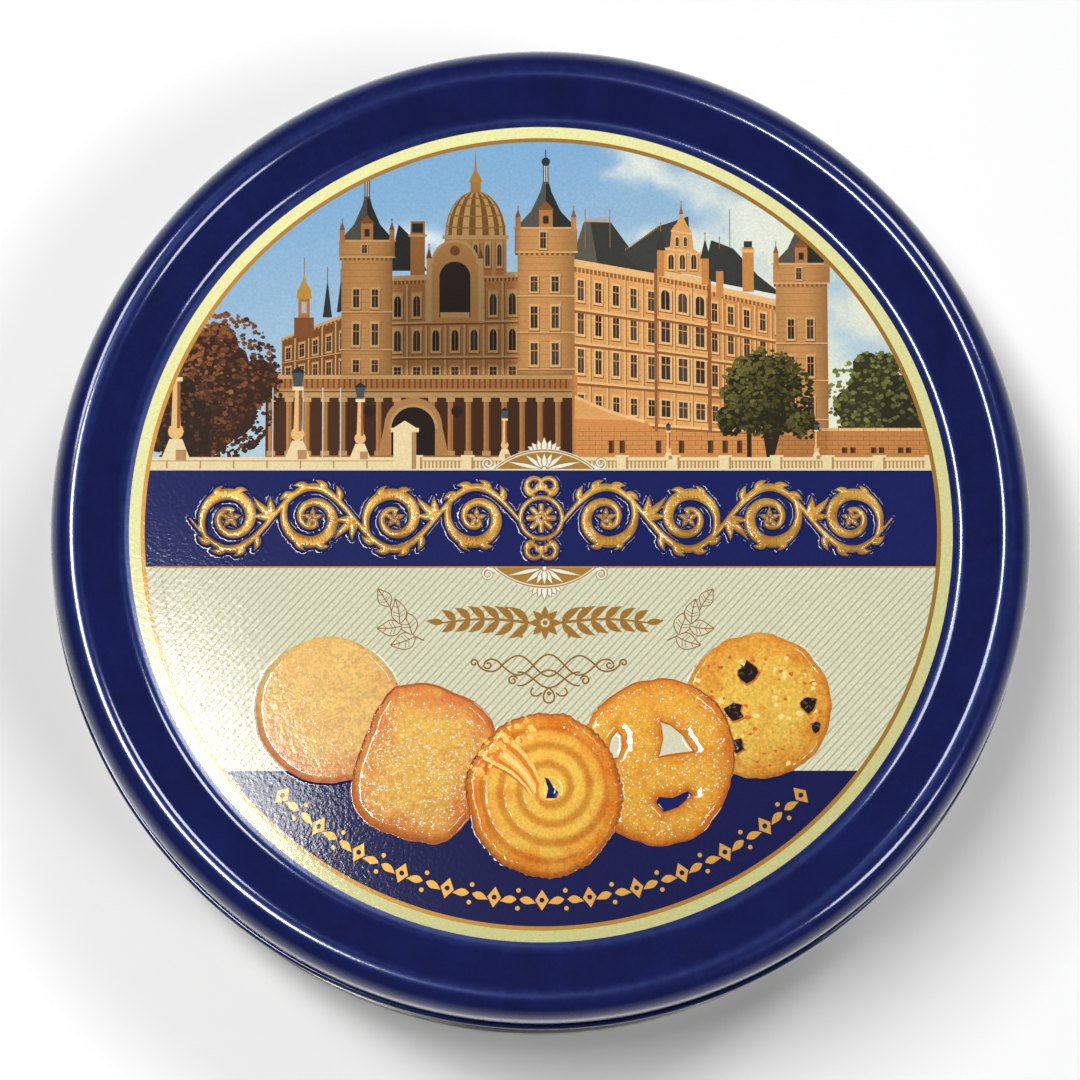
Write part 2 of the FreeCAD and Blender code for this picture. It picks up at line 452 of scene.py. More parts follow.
# ---------------------------------------------------------------- embossing
class Embossing:
    """Raised strokes: short tapered rods strung along paths."""

    def __init__(self):
        self.rods = np.zeros((0, 6))

    def add(self, path, widths):
        path = np.asarray(path, float)
        widths = np.broadcast_to(widths, len(path))
        length = np.concatenate([[0], np.cumsum(np.linalg.norm(np.diff(path, axis=0), axis=1))])
        at = np.linspace(0, length[-1], max(3, int(length[-1] / 0.5)))
        spots = np.column_stack([np.interp(at, length, path[:, 0]), np.interp(at, length, path[:, 1]),
                                 np.interp(at, length, widths) / 2])
        self.rods = np.vstack([self.rods, np.hstack([spots[:-1], spots[1:]])])

    def depth(self, x, y):
        """How far inside the strokes each place lies; negative outside."""
        rods = self.rods
        result = np.full(len(x), -9.0)
        for part in np.array_split(np.argsort(x), max(1, len(x) // 400)):
            if not len(part):
                continue
            near = rods[(rods[:, 0] > x[part].min() - 3) & (rods[:, 0] < x[part].max() + 3)]
            if len(near):
                ax, ay, ar, bx, by, br = near.T
                dx, dy = bx - ax, by - ay
                px, py = x[part, None] - ax, y[part, None] - ay
                t = np.clip((px * dx + py * dy) / np.maximum(dx * dx + dy * dy, 1e-9), 0, 1)
                result[part] = (ar + t * (br - ar) - np.hypot(px - t * dx, py - t * dy)).max(axis=1)
        return result


# ---------------------------------------------------------------- running scrolls
def wave(k, first, pitch, middle, coil, petals, rim, shoots):
    """Strokes of one wave of a scroll: volute, rosette in its eye, leaves on it and at the next wave.

    coil: outer and inner radius, start, turns, widths
    petals: count, first bearing, distance from the centre, length, width
    rim: for each leaf its bearing, half axes and power of its root, turn, length, width, bend
    shoots: distance before the joint, height, width, and for each leaf its lean, length, bend"""
    side = 1 if k % 2 == 0 else -1
    cx = first + (k + 0.5) * pitch
    outer, inner, start, turns, widths = coil
    volute = spiral(cx, 0, outer, inner, start, turns, 0.85) * (1, side) + (0, middle)
    yield volute, taper(volute, *widths)
    count, bearing, reach, length, wide = petals
    for n in range(count):
        angle = bearing + 360 * n / count
        yield sprout(*polar(reach, angle, cx, middle), angle, length, wide)
    for angle, across, up, power, turn, length, wide, bend in rim:
        a = math.radians(angle)
        yield sprout(cx + across * math.cos(a), middle + side * up * math.sin(a) ** power,
                     side * (angle - 90 + turn), length, wide, bend * side)
    before, height, wide, leaves = shoots
    for lean, length, bend in leaves:
        yield sprout(first + (k + 1) * pitch - before, middle + height * side, side * lean, length, wide,
                     bend * side)


TITLE = Embossing()         # filled by title_scroll, read by relief
TITLE_RISE = 0.55


def title_scroll(art):
    """Gold scrollwork on the navy band: a waving stem, a volute in every wave and leaves that follow it."""
    middle, pitch, first, waves = 2.2, 15.7, 4.6, 4
    coil = (6.0, 1.5, 38, -1.42, (0.9, 2.2, 2.1, 1.5, 1.1, 0.9))
    rim = [(angle, 6.0, 6.0, 0.9, turn, length, 1.35, -46)
           for angle, length, turn in ((150, 3.2, 40), (118, 3.0, 36), (84, 3.2, 34), (52, 3.0, 32))]
    rim += [(angle, 4.9, 4.9, 1, 46, length, 1.3, -60) for angle, length in ((-50, 3.0), (-96, 2.8))]
    joint_leaves = ((24, 5.6, 36), (-8, 4.4, 20), (58, 4.0, 40))
    x = np.linspace(first - 1.4, first + waves * pitch, 160)
    stem = np.column_stack([x, middle + 6.0 * np.sin(math.pi * (x - first) / pitch)])
    half = [(stem, taper(stem, 0.5, 1.5, 0.9, 1.5, 0.9, 1.5, 0.9, 1.4, 0.3))]
    for k in range(waves):
        shoots = (0.6, 0.4, 1.5, joint_leaves if k < waves - 1 else ())
        half += wave(k, first, pitch, middle, coil, (5, 20, 0.2, 1.9, 1.0), rim, shoots)
    for up in (1, -1):
        curl = spiral(1.5, 0, 1.9, 0.6, 205, -1.15) * (1, up) + (0, middle + up * 6.2)
        half.append((curl, taper(curl, 0.6, 1.1, 0.8)))
        half.append(sprout(1.2, middle + up * 4.4, up * 20, 2.8, 1.3, up * 30))
    strokes = [(path * (hand, 1), widths) for hand in (1, -1) for path, widths in half]
    strokes.append((spiral(0, middle, 4.0, 4.0, 0, 1.0), 0.85))
    for angle in range(0, 360, 45):
        petal = leaf(*polar(0.3, angle, 0, middle), angle, 2.5)
        strokes.append((petal, taper(petal, 0.4, 0.9, 1.15, 0.9)))
    for path, widths in strokes:
        TITLE.add(path, widths)
        # gold ink with a painted sheen: painted shade darkens it toward the foot of the band
        art.line(path, widths, painted_sheen_gold, GOLD_INK)


def painted_sheen_gold(x, y):
    """Gold ink with a painted sheen: painted shade darkens it toward the foot of the band, and it clouds a
    little.
    """
    share = 0.5 + 0.08 * (3.2 - y) + 0.8 * clouding(x, y, 5.0, 3.0, 2)
    return blend(pick(196, 150, 70), pick(166, 120, 48), share)


# ---------------------------------------------------------------- small ornaments
def fan(art, cx, base, up):
    """Fan medallion that stands on a line: petals in an arch, a crown of leaves and a curl at each end."""
    half, rise = 9.9, 3.9
    radius = (half * half + rise * rise) / (2 * rise)
    spread = math.degrees(math.asin(half / radius))
    rim = np.array(arc(0, rise - radius, radius, 90 + spread, 90 - spread, 30))

    def put(path):
        return np.asarray(path, float) * (1, up) + (cx, base)

    def two_tone(path, under, over):
        art.line(put(path), under, DARK_GOLD)
        art.line(put(path), over, WHITE)
    for side in (1, -1):
        two_tone(spiral(half + 0.9, 1.2, 1.15, 0.35, -90, 1.25) * (side, 1), 0.62, 0.34)
        art.line(put([(side * 6.2, 2.4), (side * 8.6, 0.9), (side * (half + 0.9), 0.05)]), 0.5, WHITE)
    for angle, size in ((150, 2.0), (30, 2.0), (128, 2.2), (52, 2.2), (108, 2.4), (72, 2.4), (90, 2.8)):
        blade = leaf(polar(1.6, angle)[0], rise - 0.5, angle, size)
        two_tone(blade, leafy(blade, 1.25) + 0.2, leafy(blade, 1.0))
    art.fill(put(rim * 1.03), WHITE)
    art.fill(put(rim), pick(166, 122, 52))
    art.line(put(rim * (0.95, 0.9)), 0.2, WHITE)
    for step in (0, 6, 1, 5, 2, 4, 3):
        angle = 12 + 26 * step
        a = math.radians(angle)
        reach = 0.86 / math.hypot(math.cos(a) / half, math.sin(a) / rise)
        blade = leaf(*polar(0.12 * reach, angle), angle, 0.8 * reach)
        wide = 0.62 + 0.3 * abs(math.sin(a))
        two_tone(blade, leafy(blade, wide + 0.42), leafy(blade, wide))
    art.dot(cx, base + 0.1 * up, 0.6, DARK_GOLD)
    art.dot(cx, base + 0.1 * up, 0.4, WHITE)


def sprig(art, x, y, hand):
    """Broad outlined leaves set one after another along a curved stem."""
    def put(path):
        return np.asarray(path) * (hand, 1) + (x, y)
    stem = leaf(0, -1.4, 160, 9.4, -50, 16)
    art.line(put(stem), 0.24, BROWN)
    for k, way, length, wide in ((3, 1, 5.0, 3.3), (4, -1, 5.2, 3.4), (8, 1, 4.8, 3.1), (9, -1, 4.8, 3.0),
                                 (15, 0, 4.0, 2.7)):
        rib = leaf(*stem[k], 168 - 44 * k / 15 + 52 * way, length, -22 * way)
        side = normals(rib) * (leafy(rib, wide) / 2)[:, None]
        art.fill(put(np.concatenate([rib + side, (rib - side)[::-1]])), CREAM)
        for edge in (rib + side, rib - side, rib):
            art.line(put(edge), 0.2, BROWN)
        for j in (2, 3, 5):
            for edge in (1, -1):
                art.line(put([rib[j], rib[j + 1] + 0.8 * edge * side[j + 1]]), 0.13, BROWN)


def garland(art, cx, y):
    """Laurel branches that run out from a rosette."""
    ink = pick(156, 112, 46)
    stem = np.column_stack([np.linspace(3.0, 19.4, 60), 0.7 * np.sin(np.linspace(0, 3.1, 60))])
    for hand in (1, -1):
        def draw(path, widths):
            art.line(path * (hand, 1) + (cx, y), widths, ink)
        draw(stem, taper(stem, 0.6, 0.35))
        for k in range(6):
            root = stem[10 * k + 1]
            for way in (1, -1):
                draw(*sprout(*root, way * 58, 4.9 - 0.3 * k, 1.5, -way * 40))
            berry = (2.6 if k % 2 else -2.6) * (1 - 0.08 * k)
            art.dot(cx + hand * (root[0] + 1.3), y + root[1] + berry, 0.36, ink)
        draw(*sprout(*stem[-1], 6, 3.4, 1.3))
    for angle in range(0, 360, 45):
        art.line(*sprout(*polar(0.6, angle, cx, y), angle, 2.7, 1.35), ink)
    art.dot(cx, y, 0.85, CREAM)
    art.dot(cx, y, 0.5, ink)


def flourish(art, cx, y):
    """Fine interlaced loops with curls at both ends."""
    pen = 0.33
    for drop, reach, swing, turns in ((0, 9.0, 2.1, 3), (-2.6, 6.0, 1.7, 2)):
        x = np.linspace(-reach, reach, 140)
        for way in (1, -1):
            loop = way * swing * np.cos(math.pi * turns * x / (2 * reach)) * (1 - 0.25 * (x / reach) ** 2)
            art.line(np.column_stack([x, loop + drop]) + (cx, y), pen, BROWN)
    for hand in (1, -1):
        loops = [
            bezier((9.0, 0), (10.0, -1.6), (12.2, -1.6), (13.6, 0.2)),
            bezier((9.0, 0), (10.0, 1.6), (12.0, 1.5), (12.4, 0.2)),
            spiral(11.6, 0.1, 0.85, 0.25, 0, -0.9),
            spiral(14.3, 0.5, 0.75, 0.25, 200, -1.1),
            spiral(6.9, -2.9, 0.95, 0.3, 160, -1.2),
            bezier((3.0, -4.3), (4.4, -5.6), (2.2, -6.6), (1.4, -5.2)),
            bezier((0, -4.3), (1.5, -5.4), (1.3, -7.2), (0, -7.2)),
        ]
        for path in loops:
            art.line(path * (hand, 1) + (cx, y), pen, BROWN)
    art.dot(cx, y - 5.4, 0.4, BROWN)


def border_chain(art):
    """Lozenges, leaves and beads along the foot of the panel."""
    for k, angle in enumerate(np.linspace(226, 314, 25)):
        out, along = np.array(polar(1, angle)), np.array(polar(1, angle + 90))
        spot = CHAIN_RADIUS * out
        if k % 2 == 0:
            art.fill([spot + 2.0 * out, spot + 1.3 * along, spot - 2.0 * out, spot - 1.3 * along], GOLD,
                     GOLD_INK)
            art.dot(*spot, 0.5, BAND_NAVY)
            continue
        for way in (1, -1):
            blade = sprout(*(spot + way * 0.35 * along), angle + way * 90, 3.1, 1.5, -20 * way)
            art.line(*blade, GOLD, GOLD_INK)
            art.dot(*(spot + way * 1.7 * out), 0.45, GOLD, GOLD_INK, 8)


# ---------------------------------------------------------------- the palace scene
LIT, STONE, SHADE, DEEP = pick(216, 156, 92), pick(196, 132, 72), pick(146, 90, 48), pick(100, 60, 34)
TRIM, GLASS, SLATE, SLATE_LIT = pick(230, 182, 120), pick(56, 50, 46), pick(56, 56, 52), pick(98, 94, 82)
RAIL, RAIL_SHADE, TRUNK = pick(230, 210, 160), pick(178, 134, 88), pick(48, 38, 26)
COURSE = 1.25               # height of the masonry courses


def weathered(color):
    """Stone whose tone drifts over the wall."""
    return lambda x, y: color * (1 + 0.16 * clouding(x, y, 5.0, 7.0, 3) + 0.006 * (y - 34))[:, None]


def sky(x, y):
    """Blue that deepens upward to the left, with clouds that gather at the right."""
    clear = blend(pick(176, 200, 212), pick(128, 172, 208), (y - 25) / 48 - 0.0045 * x)
    cloud = blend(pick(214, 226, 230), pick(228, 230, 204), (x + 10) / 80)
    cover = 0.8 * clouding(x + 0.6 * y, 1.6 * y, 24.0, 5.0, 5) + 0.010 * x - 0.007 * (y - 46) - 0.09
    cover = cover + 0.3 * np.exp(-((x + 10) / 12) ** 2 - ((y - 67) / 7) ** 2)
    return blend(clear, cloud, smoothstep(cover * 1.5 + 0.2))


def patch(art, at, u0, u1, v0, v1, color):
    """Four-sided patch of a wall, given in wall coordinates that at(u, v) turns into places."""
    art.fill([at(u0, v0), at(u1, v0), at(u1, v1), at(u0, v1)], color)


def window(art, at, u, half, low, high, rng, arched=False):
    """Window in wall coordinates: pale surround, dark glass, mullion and sill."""
    tall = high - low
    step = 0.12 * tall
    patch(art, at, u - 1.5 * half, u + 1.5 * half, low - step, high + step, TRIM)
    patch(art, at, u + 1.5 * half, u + 1.75 * half, low - step, high, SHADE)
    glass = GLASS * rng.uniform(0.6, 1.7)
    if arched:
        head = [at(u + half * math.cos(a), high - 0.25 * tall * (1 - math.sin(a)))
                for a in np.linspace(0, math.pi, 7)]
        art.fill([at(u - half, low), at(u + half, low)] + head, glass)
    else:
        patch(art, at, u - half, u + half, low, high, glass)
        patch(art, at, u - half, u + half, low + 0.62 * tall, low + 0.68 * tall, STONE)
    patch(art, at, u - 0.09 * half, u + 0.09 * half, low, high, STONE)
    patch(art, at, u - 1.7 * half, u + 1.7 * half, high + step, high + 1.7 * step, LIT)
    patch(art, at, u - 1.7 * half, u + 1.7 * half, low - 1.5 * step, low - step, SHADE)


def plain_window(art, x, half, low, high, rng, arched=False):
    """Window in a wall that faces the viewer."""
    window(art, lambda u, v: (x + u, v), 0, half, low, high, rng, arched)


def facade(art, x0, x1, feet, eaves, color, floors, bays, rng, arched=(), width=0.34):
    """Wall from x0 to x1; feet and eaves give its height at both ends; floors are shares of its height."""
    def at(u, v):
        foot = feet[0] + (feet[1] - feet[0]) * u
        return (x0 + (x1 - x0) * u, foot + (eaves[0] + (eaves[1] - eaves[0]) * u - foot) * v)

    patch(art, at, 0, 1, 0, 1, weathered(color))
    for v in np.arange(0.04, 0.92, COURSE / (eaves[0] - feet[0])):
        patch(art, at, 0, 1, v, v + 0.003, color * 0.78)
    half = 0.055 / bays
    for k in range(bays + 1):
        u = k / bays
        patch(art, at, max(0, u - half), min(1, u + half), 0, 1, TRIM * 0.94)
        patch(art, at, min(1, u + half), min(1, u + 1.9 * half), 0, 1, SHADE)
    for index, (low, high) in enumerate(floors):
        patch(art, at, 0, 1, low - 0.062, low - 0.047, TRIM)
        patch(art, at, 0, 1, low - 0.078, low - 0.062, SHADE)
        for k in range(bays):
            window(art, at, (k + 0.5) / bays, width / bays / 2, low, high, rng, index in arched)
    patch(art, at, 0, 1, 0.955, 1, TRIM)
    patch(art, at, 0, 1, 0.925, 0.955, SHADE)
    teeth = max(4, int((x1 - x0) / 0.75))
    for k in range(teeth):
        patch(art, at, (k + 0.2) / teeth, (k + 0.6) / teeth, 0.925, 0.955, LIT)


def spire(art, x, y, height, half, color=SLATE):
    """Small pointed turret roof with a ball."""
    art.fill([(x - half, y), (x + half, y), (x, y + height)], color)
    art.line([(x, y + height * 0.85), (x, y + height * 1.3)], 0.16, DARK_GOLD)
    art.dot(x, y + height * 1.22, 0.2, GOLD, sides=6)


def tower(art, x, half, foot, eaves, floors, roof, rng):
    """Round tower: shaded shaft, rings, windows, corbelled head, steep cone, dormer and corner turrets."""
    height = eaves - foot
    head = eaves - 0.12 * height
    tip = eaves + roof

    def band(share, low, high, color):
        art.box(x - share * half, low, x + share * half, high, color)

    def shaft(wide, low, high):
        def round_shade(px, py):
            t = (px - x) / (half * wide)
            return LIT[None, :] * (1.02 - 0.3 * (t + 0.12) ** 2 - 0.12 * np.maximum(t, 0))[:, None]
        edges = x + wide * half * np.linspace(-1, 1, 9)
        for left, right in zip(edges, edges[1:]):
            art.box(left, low, right, high, round_shade)
        for y in np.arange(low + 0.6, high - 0.3, COURSE):
            band(wide, y, y + 0.09, STONE * 0.86)
    shaft(1.0, foot, eaves)
    shaft(1.1, head, eaves)
    for k in range(12):
        art.box(x + half * (-1.08 + 0.18 * k), head - 0.5, x + half * (-0.98 + 0.18 * k), head, SHADE)
    band(1.12, head, head + 0.3, TRIM)
    band(1.14, eaves - 0.35, eaves, TRIM)
    for low, high in floors:
        bottom, top = foot + low * height, foot + high * height
        band(1.03, bottom - 1.0, bottom - 0.72, TRIM)
        band(1.0, bottom - 1.16, bottom - 1.0, SHADE)
        for t in (-0.42, 0.32):
            plain_window(art, x + t * half, 0.13 * half * math.sqrt(1 - t * t), bottom, top, rng)
    plain_window(art, x - 0.1 * half, 0.1 * half, head + 0.9, eaves - 1.0, rng)
    for side, color in ((-1, SLATE_LIT * 0.9), (1, SLATE * 0.8)):
        art.fill([(x, eaves), (x, tip)] + [(x + side * share * half, eaves + up * roof)
                                           for share, up in ((0.2, 0.62), (0.52, 0.28), (1.05, 0))], color)
    for side in (-1, 1):
        corner = x + side * 0.98 * half
        art.box(corner - 0.5, eaves - 0.8, corner + 0.5, eaves + 1.9, STONE)
        spire(art, corner, eaves + 1.9, 1.7, 0.55, SHADE)
    band(0.24, eaves, eaves + 0.3 * roof, STONE)
    band(0.1, eaves + 0.06 * roof, eaves + 0.2 * roof, GLASS)
    art.fill([(x - 0.3 * half, eaves + 0.3 * roof), (x + 0.3 * half, eaves + 0.3 * roof),
              (x, eaves + 0.46 * roof)], SHADE)
    art.box(x - 0.62, tip - 0.24 * roof, x + 0.62, tip - 0.2 * roof, SLATE_LIT)
    art.box(x - 0.5, tip - 0.2 * roof, x + 0.5, tip + 1.6, pick(226, 226, 220))
    for side in (-0.42, 0, 0.42):
        art.box(x + side - 0.12, tip - 0.2 * roof, x + side + 0.12, tip + 1.6, SLATE_LIT)
    art.dot(x, tip + 1.7, 0.85, SLATE, sides=12)
    art.line([(x, tip + 2.2), (x, tip + 4.0)], 0.2, SLATE)


def tree(art, x, y, wide, tall, dark, light, count, seed):
    """Crown of a tree built of many small leaf masses, lit from the upper left."""
    rng = random.Random(seed)
    for _ in range(26):
        a, r = rng.uniform(0, TAU), math.sqrt(rng.random()) * 0.72
        art.dot(x + wide * r * math.cos(a), y + tall * r * math.sin(a), 0.3 * wide, dark, sides=9,
                squash=tall / wide)
    for _ in range(count):
        a, r = rng.uniform(0, TAU), math.sqrt(rng.random())
        px, py = math.cos(a) * r, math.sin(a) * r
        glow = min(1, max(0, 0.3 + 0.32 * (py - px) + rng.gauss(0, 0.25)))
        size, turn = rng.uniform(0.25, 0.7), rng.uniform(0, 2)
        art.fill(ragged(rng, x + wide * px, y + tall * py, size, 6, (0.6, 1.2), (0.6, 1.2), turn, 0.8),
                 dark * (1 - glow) + light * glow)


def lamp(art, x, foot, top):
    """Stone lamp column: stepped base, shaft and lantern."""
    tall = top - foot

    def taper_box(low, high, half_low, half_high, color):
        art.fill([(x + wide * tall, foot + up * tall) for wide, up in
                  ((-half_low, low), (half_low, low), (half_high, high), (-half_high, high))], color)
    taper_box(0, 0.2, 0.14, 0.06, RAIL)
    art.box(x, foot, x + 0.1 * tall, foot + 0.1 * tall, RAIL_SHADE)
    art.dot(x, foot + 0.27 * tall, 0.075 * tall, TRIM)
    taper_box(0.3, 0.74, 0.045, 0.03, TRIM)
    art.box(x + 0.01 * tall, foot + 0.3 * tall, x + 0.04 * tall, foot + 0.74 * tall, SHADE)
    taper_box(0.74, 0.78, 0.06, 0.06, RAIL)
    taper_box(0.78, 0.93, 0.04, 0.07, pick(70, 78, 84))
    eaves = foot + 0.93 * tall
    art.fill([(x - 0.08 * tall, eaves), (x + 0.08 * tall, eaves), (x, top)], pick(40, 40, 42))


def evening(x, y):
    """Light on the palace: the left wings and the terrace stand in shade, the long front in the sun."""
    def within(value, low, high):
        return smoothstep((value - low) / 1.2 + 0.5) * smoothstep((high - value) / 1.2 + 0.5)
    above = within(y, 31, 90)
    wing = within(x, -28.6, -4.6) * above * (0.66 - 0.012 * np.clip(y - 45, 0, 16))
    far_left = within(x, -90, -38.6)
    shade = wing + 0.36 * within(x, -38.6, -28.6) * above + 0.3 * far_left
    shade = shade + 0.42 * within(x, -90, 6.2) * within(y, 0, 31) * (1 - far_left)
    shade = shade + 0.2 * within(x, -4.6, 6.4) * above + 0.22 * within(x, 45.4, 55.6)
    return 1 - shade + 0.12 * within(x, 6.4, 45) * within(y, 0, 22)


def far_wing(art, rng):
    """Low wing at the far left, with a small gilded lantern and two thin spires."""
    facade(art, -50, -37, (29, 29), (38, 43), SHADE * 0.85, ((0.15, 0.35), (0.52, 0.75)), 5, rng)
    art.box(-47.6, 38, -43.8, 42.0, SHADE)
    art.box(-46.8, 42.0, -44.6, 45.6, STONE)
    art.box(-46.2, 42.8, -45.2, 45.0, pick(210, 200, 190))
    art.fill([(-47.2, 45.6), (-44.2, 45.6), (-44.4, 47.2), (-45.3, 48.8), (-45.7, 50.6), (-46.1, 48.8),
              (-47.0, 47.2)], pick(216, 160, 64))
    art.line([(-45.7, 50.2), (-45.7, 53.6)], 0.2, GOLD)
    spire(art, -41.2, 42.0, 7.5, 0.9)
    spire(art, -38.6, 43.0, 6.5, 0.8)


def middle_wing(art, rng):
    """Wing between the left towers, with a chimney."""
    art.fill([(-29.5, 51), (-22, 51), (-24.5, 57), (-27.5, 60)], SLATE)
    art.box(-25.2, 50, -22.4, 60.6, STONE)
    art.box(-25.6, 57.6, -22.0, 58.1, TRIM)
    art.box(-24.9, 58.4, -22.8, 60.2, SLATE)
    facade(art, -29.5, 0, (28, 28), (50, 51), STONE, ((0.10, 0.2), (0.34, 0.52), (0.64, 0.82)), 8, rng,
           (1, 2), 0.36)


def domed_block(art, rng):
    """Front block with a ribbed dome and its lantern, and the great arch before it."""
    cx, foot, wide, tall = -12.6, 57.9, 5.9, 8.6

    def on_dome(turn, lift, droop=0.0):
        """Place on the dome seen from the front: turn runs round it, lift from its foot to its top."""
        return (cx - wide * math.cos(turn) * math.cos(lift),
                foot + tall * math.sin(lift) - droop * math.sin(turn))
    art.box(-18.6, 50, -6.6, 57.4, LIT)
    for k in range(5):
        x = -17.2 + 2.3 * k
        art.box(x - 0.85, 50.2, x + 0.85, 57, STONE)
        plain_window(art, x, 0.42, 52.0, 56.2, rng, True)
    art.box(-19.0, 57.2, -6.2, 57.9, TRIM)
    ribs = 14
    climb = np.linspace(0, math.pi / 2, 8)
    for k in range(ribs):
        first, last = math.pi * k / ribs, math.pi * (k + 1) / ribs
        art.fill([on_dome(first, lift) for lift in climb] + [on_dome(last, lift) for lift in climb[::-1]],
                 pick(232, 184, 110) if k % 2 else pick(150, 102, 56))
    for lift in (0.22, 0.5, 0.8, 1.1):
        art.line([on_dome(turn, lift, 0.5) for turn in np.linspace(0.05, math.pi - 0.05, 14)], 0.3,
                 pick(176, 124, 66))
    art.box(-13.6, 66.2, -11.6, 68.2, pick(214, 150, 70))
    art.fill([(-14.0, 68.2), (-11.2, 68.2), (-12.3, 70.4), (-12.6, 74.5), (-12.9, 70.4)], pick(224, 164, 72))
    art.fill([(-21.2, 41)] + arc(-16.6, 52.4, 4.6, 180, 0, 12) + [(-12.0, 41)], LIT)
    art.line(arc(-16.6, 52.4, 4.4, 180, 0, 14), 0.5, TRIM)
    art.fill([(-19.6, 42)] + arc(-16.6, 49.8, 3.0, 180, 0, 12) + [(-13.6, 42)], pick(58, 44, 36))
    art.box(-19.4, 42, -13.8, 43.0, TRIM)
    art.dot(-16.6, 54.9, 1.0, SHADE)
    for x in (-21.6, -11.6):
        art.box(x - 0.5, 41, x + 0.5, 53.4, TRIM)
        spire(art, x, 53.4, 2.2, 0.6, SHADE)


def long_front(art, rng):
    """Long sunlit front in three stretches, with steep roofs, a gable, turrets and a chimney."""
    floors = ((0.10, 0.20), (0.33, 0.47), (0.56, 0.69), (0.76, 0.88))
    art.fill([(6.0, 53.4), (24, 50.0), (17.4, 55.2), (13.6, 60.4), (8.4, 60.6)], SLATE)
    art.fill([(6.0, 53.4), (11.0, 52.4), (9.6, 60.4), (8.4, 60.6)], SLATE_LIT * 0.85)
    art.fill([(15.6, 54.4), (22.6, 59.6), (28.6, 61.6), (29.4, 50.4), (20, 50.8)], SLATE * 1.2)
    art.fill([(31, 49.4), (47, 46.2), (42.0, 50.2), (37.2, 55.4), (33.0, 57.0)], SLATE)
    for x in (8.6, 13.4, 36.6):
        art.line([(x, 55.5), (x, 63.0)], 0.16, DARK_GOLD)
    for k in range(22):
        art.line([(8.6 + 0.22 * k, 60.4), (8.6 + 0.22 * k, 61.1 + 0.3 * (k % 2))], 0.12, GOLD)
        art.line([(16.4 + 0.3 * k, 55.0 + 0.2 * k), (16.4 + 0.3 * k, 55.5 + 0.2 * k)], 0.1, GOLD)
    facade(art, 6, 23, (20.8, 19.9), (53.4, 50.4), LIT, floors, 5, rng)
    facade(art, 32, 47.5, (19.2, 18.6), (48.6, 45.0), STONE * 1.06, floors, 5, rng)
    facade(art, 22.4, 32.4, (19.9, 19.2), (51.4, 49.4), LIT * 1.04, floors, 3, rng, (3,), 0.5)
    art.box(21.9, 20, 22.5, 51.4, SHADE)
    art.box(32.2, 19.2, 32.9, 49.4, SHADE)
    art.fill([(23.6, 51.2), (31.4, 49.8), (31.0, 54.4), (29.6, 55.2), (29.2, 58.6), (28.2, 60.2),
              (27.2, 62.4), (26.4, 60.4), (25.4, 59.2), (25.0, 55.8), (23.8, 55.2)], LIT)
    art.line([(23.8, 55.4), (31.0, 54.4)], 0.4, TRIM)
    art.line([(25.2, 58.8), (29.2, 58.2)], 0.35, TRIM)
    for x, half, low, high in ((25.2, 0.5, 51.4, 54.2), (27.4, 0.5, 51.4, 54.2), (29.6, 0.5, 51.4, 54.2),
                               (26.4, 0.3, 55.8, 57.6), (28.0, 0.3, 55.8, 57.6)):
        plain_window(art, x, half, low, high, rng, True)
    spire(art, 27.2, 62.0, 2.0, 0.4, SHADE)
    for x, y, tall in ((23.2, 55.0, 4.2), (31.8, 53.4, 4.0), (34.6, 51.0, 5.2)):
        art.box(x - 0.7, y - 5.0, x + 0.7, y, STONE)
        spire(art, x, y, tall, 0.95)
    art.box(39.0, 47, 41.2, 55.6, STONE)
    art.box(38.7, 54.6, 41.5, 55.2, TRIM)
    art.box(39.3, 55.6, 40.9, 56.8, SLATE)


def terrace(art):
    """Terrace on a colonnade, with an arched gate between two round niches."""
    for low, high, right, color in ((15, 31, 7.0, STONE), (15.5, 27.0, 6.0, pick(84, 52, 32)),
                                    (26.6, 28.2, 6.0, TRIM * 0.9), (27.6, 27.9, 6.0, SHADE)):
        art.box(-53, low, right, high, color)
    for k in range(56):
        art.box(-52.6 + 1.04 * k, 28.4, -52.2 + 1.04 * k, 30.2, SHADE)
    art.box(-53, 30.2, 6.0, 30.9, TRIM)
    for k in range(17):
        x = -51.8 + 3.45 * k
        for left, right, low, high, color in (
                (-0.65, 0.35, 15.5, 26.8, STONE),
                (-0.65, -0.25, 15.5, 26.8, LIT),
                (0.35, 0.65, 15.5, 26.8, DEEP),
                (-0.95, 0.7, 25.8, 26.7, TRIM),
                (-0.95, 0.7, 15.5, 16.4, TRIM * 0.9)):
            art.box(x + left, low, x + right, high, color)
    for half, radius, middle, color in ((6.8, 5.6, 21.0, LIT), (4.2, 4.2, 20.6, pick(46, 34, 28))):
        crown = arc(-24.6, middle, radius, 180, 0, 14)
        art.fill([(-24.6 - half, 15.5)] + crown + [(-24.6 + half, 15.5)], color)
    art.line(arc(-24.6, 20.6, 4.5, 180, 0, 16), 0.5, TRIM)
    for x in (-33.0, -16.2):
        art.dot(x, 24.0, 1.1, pick(60, 42, 32), sides=14)


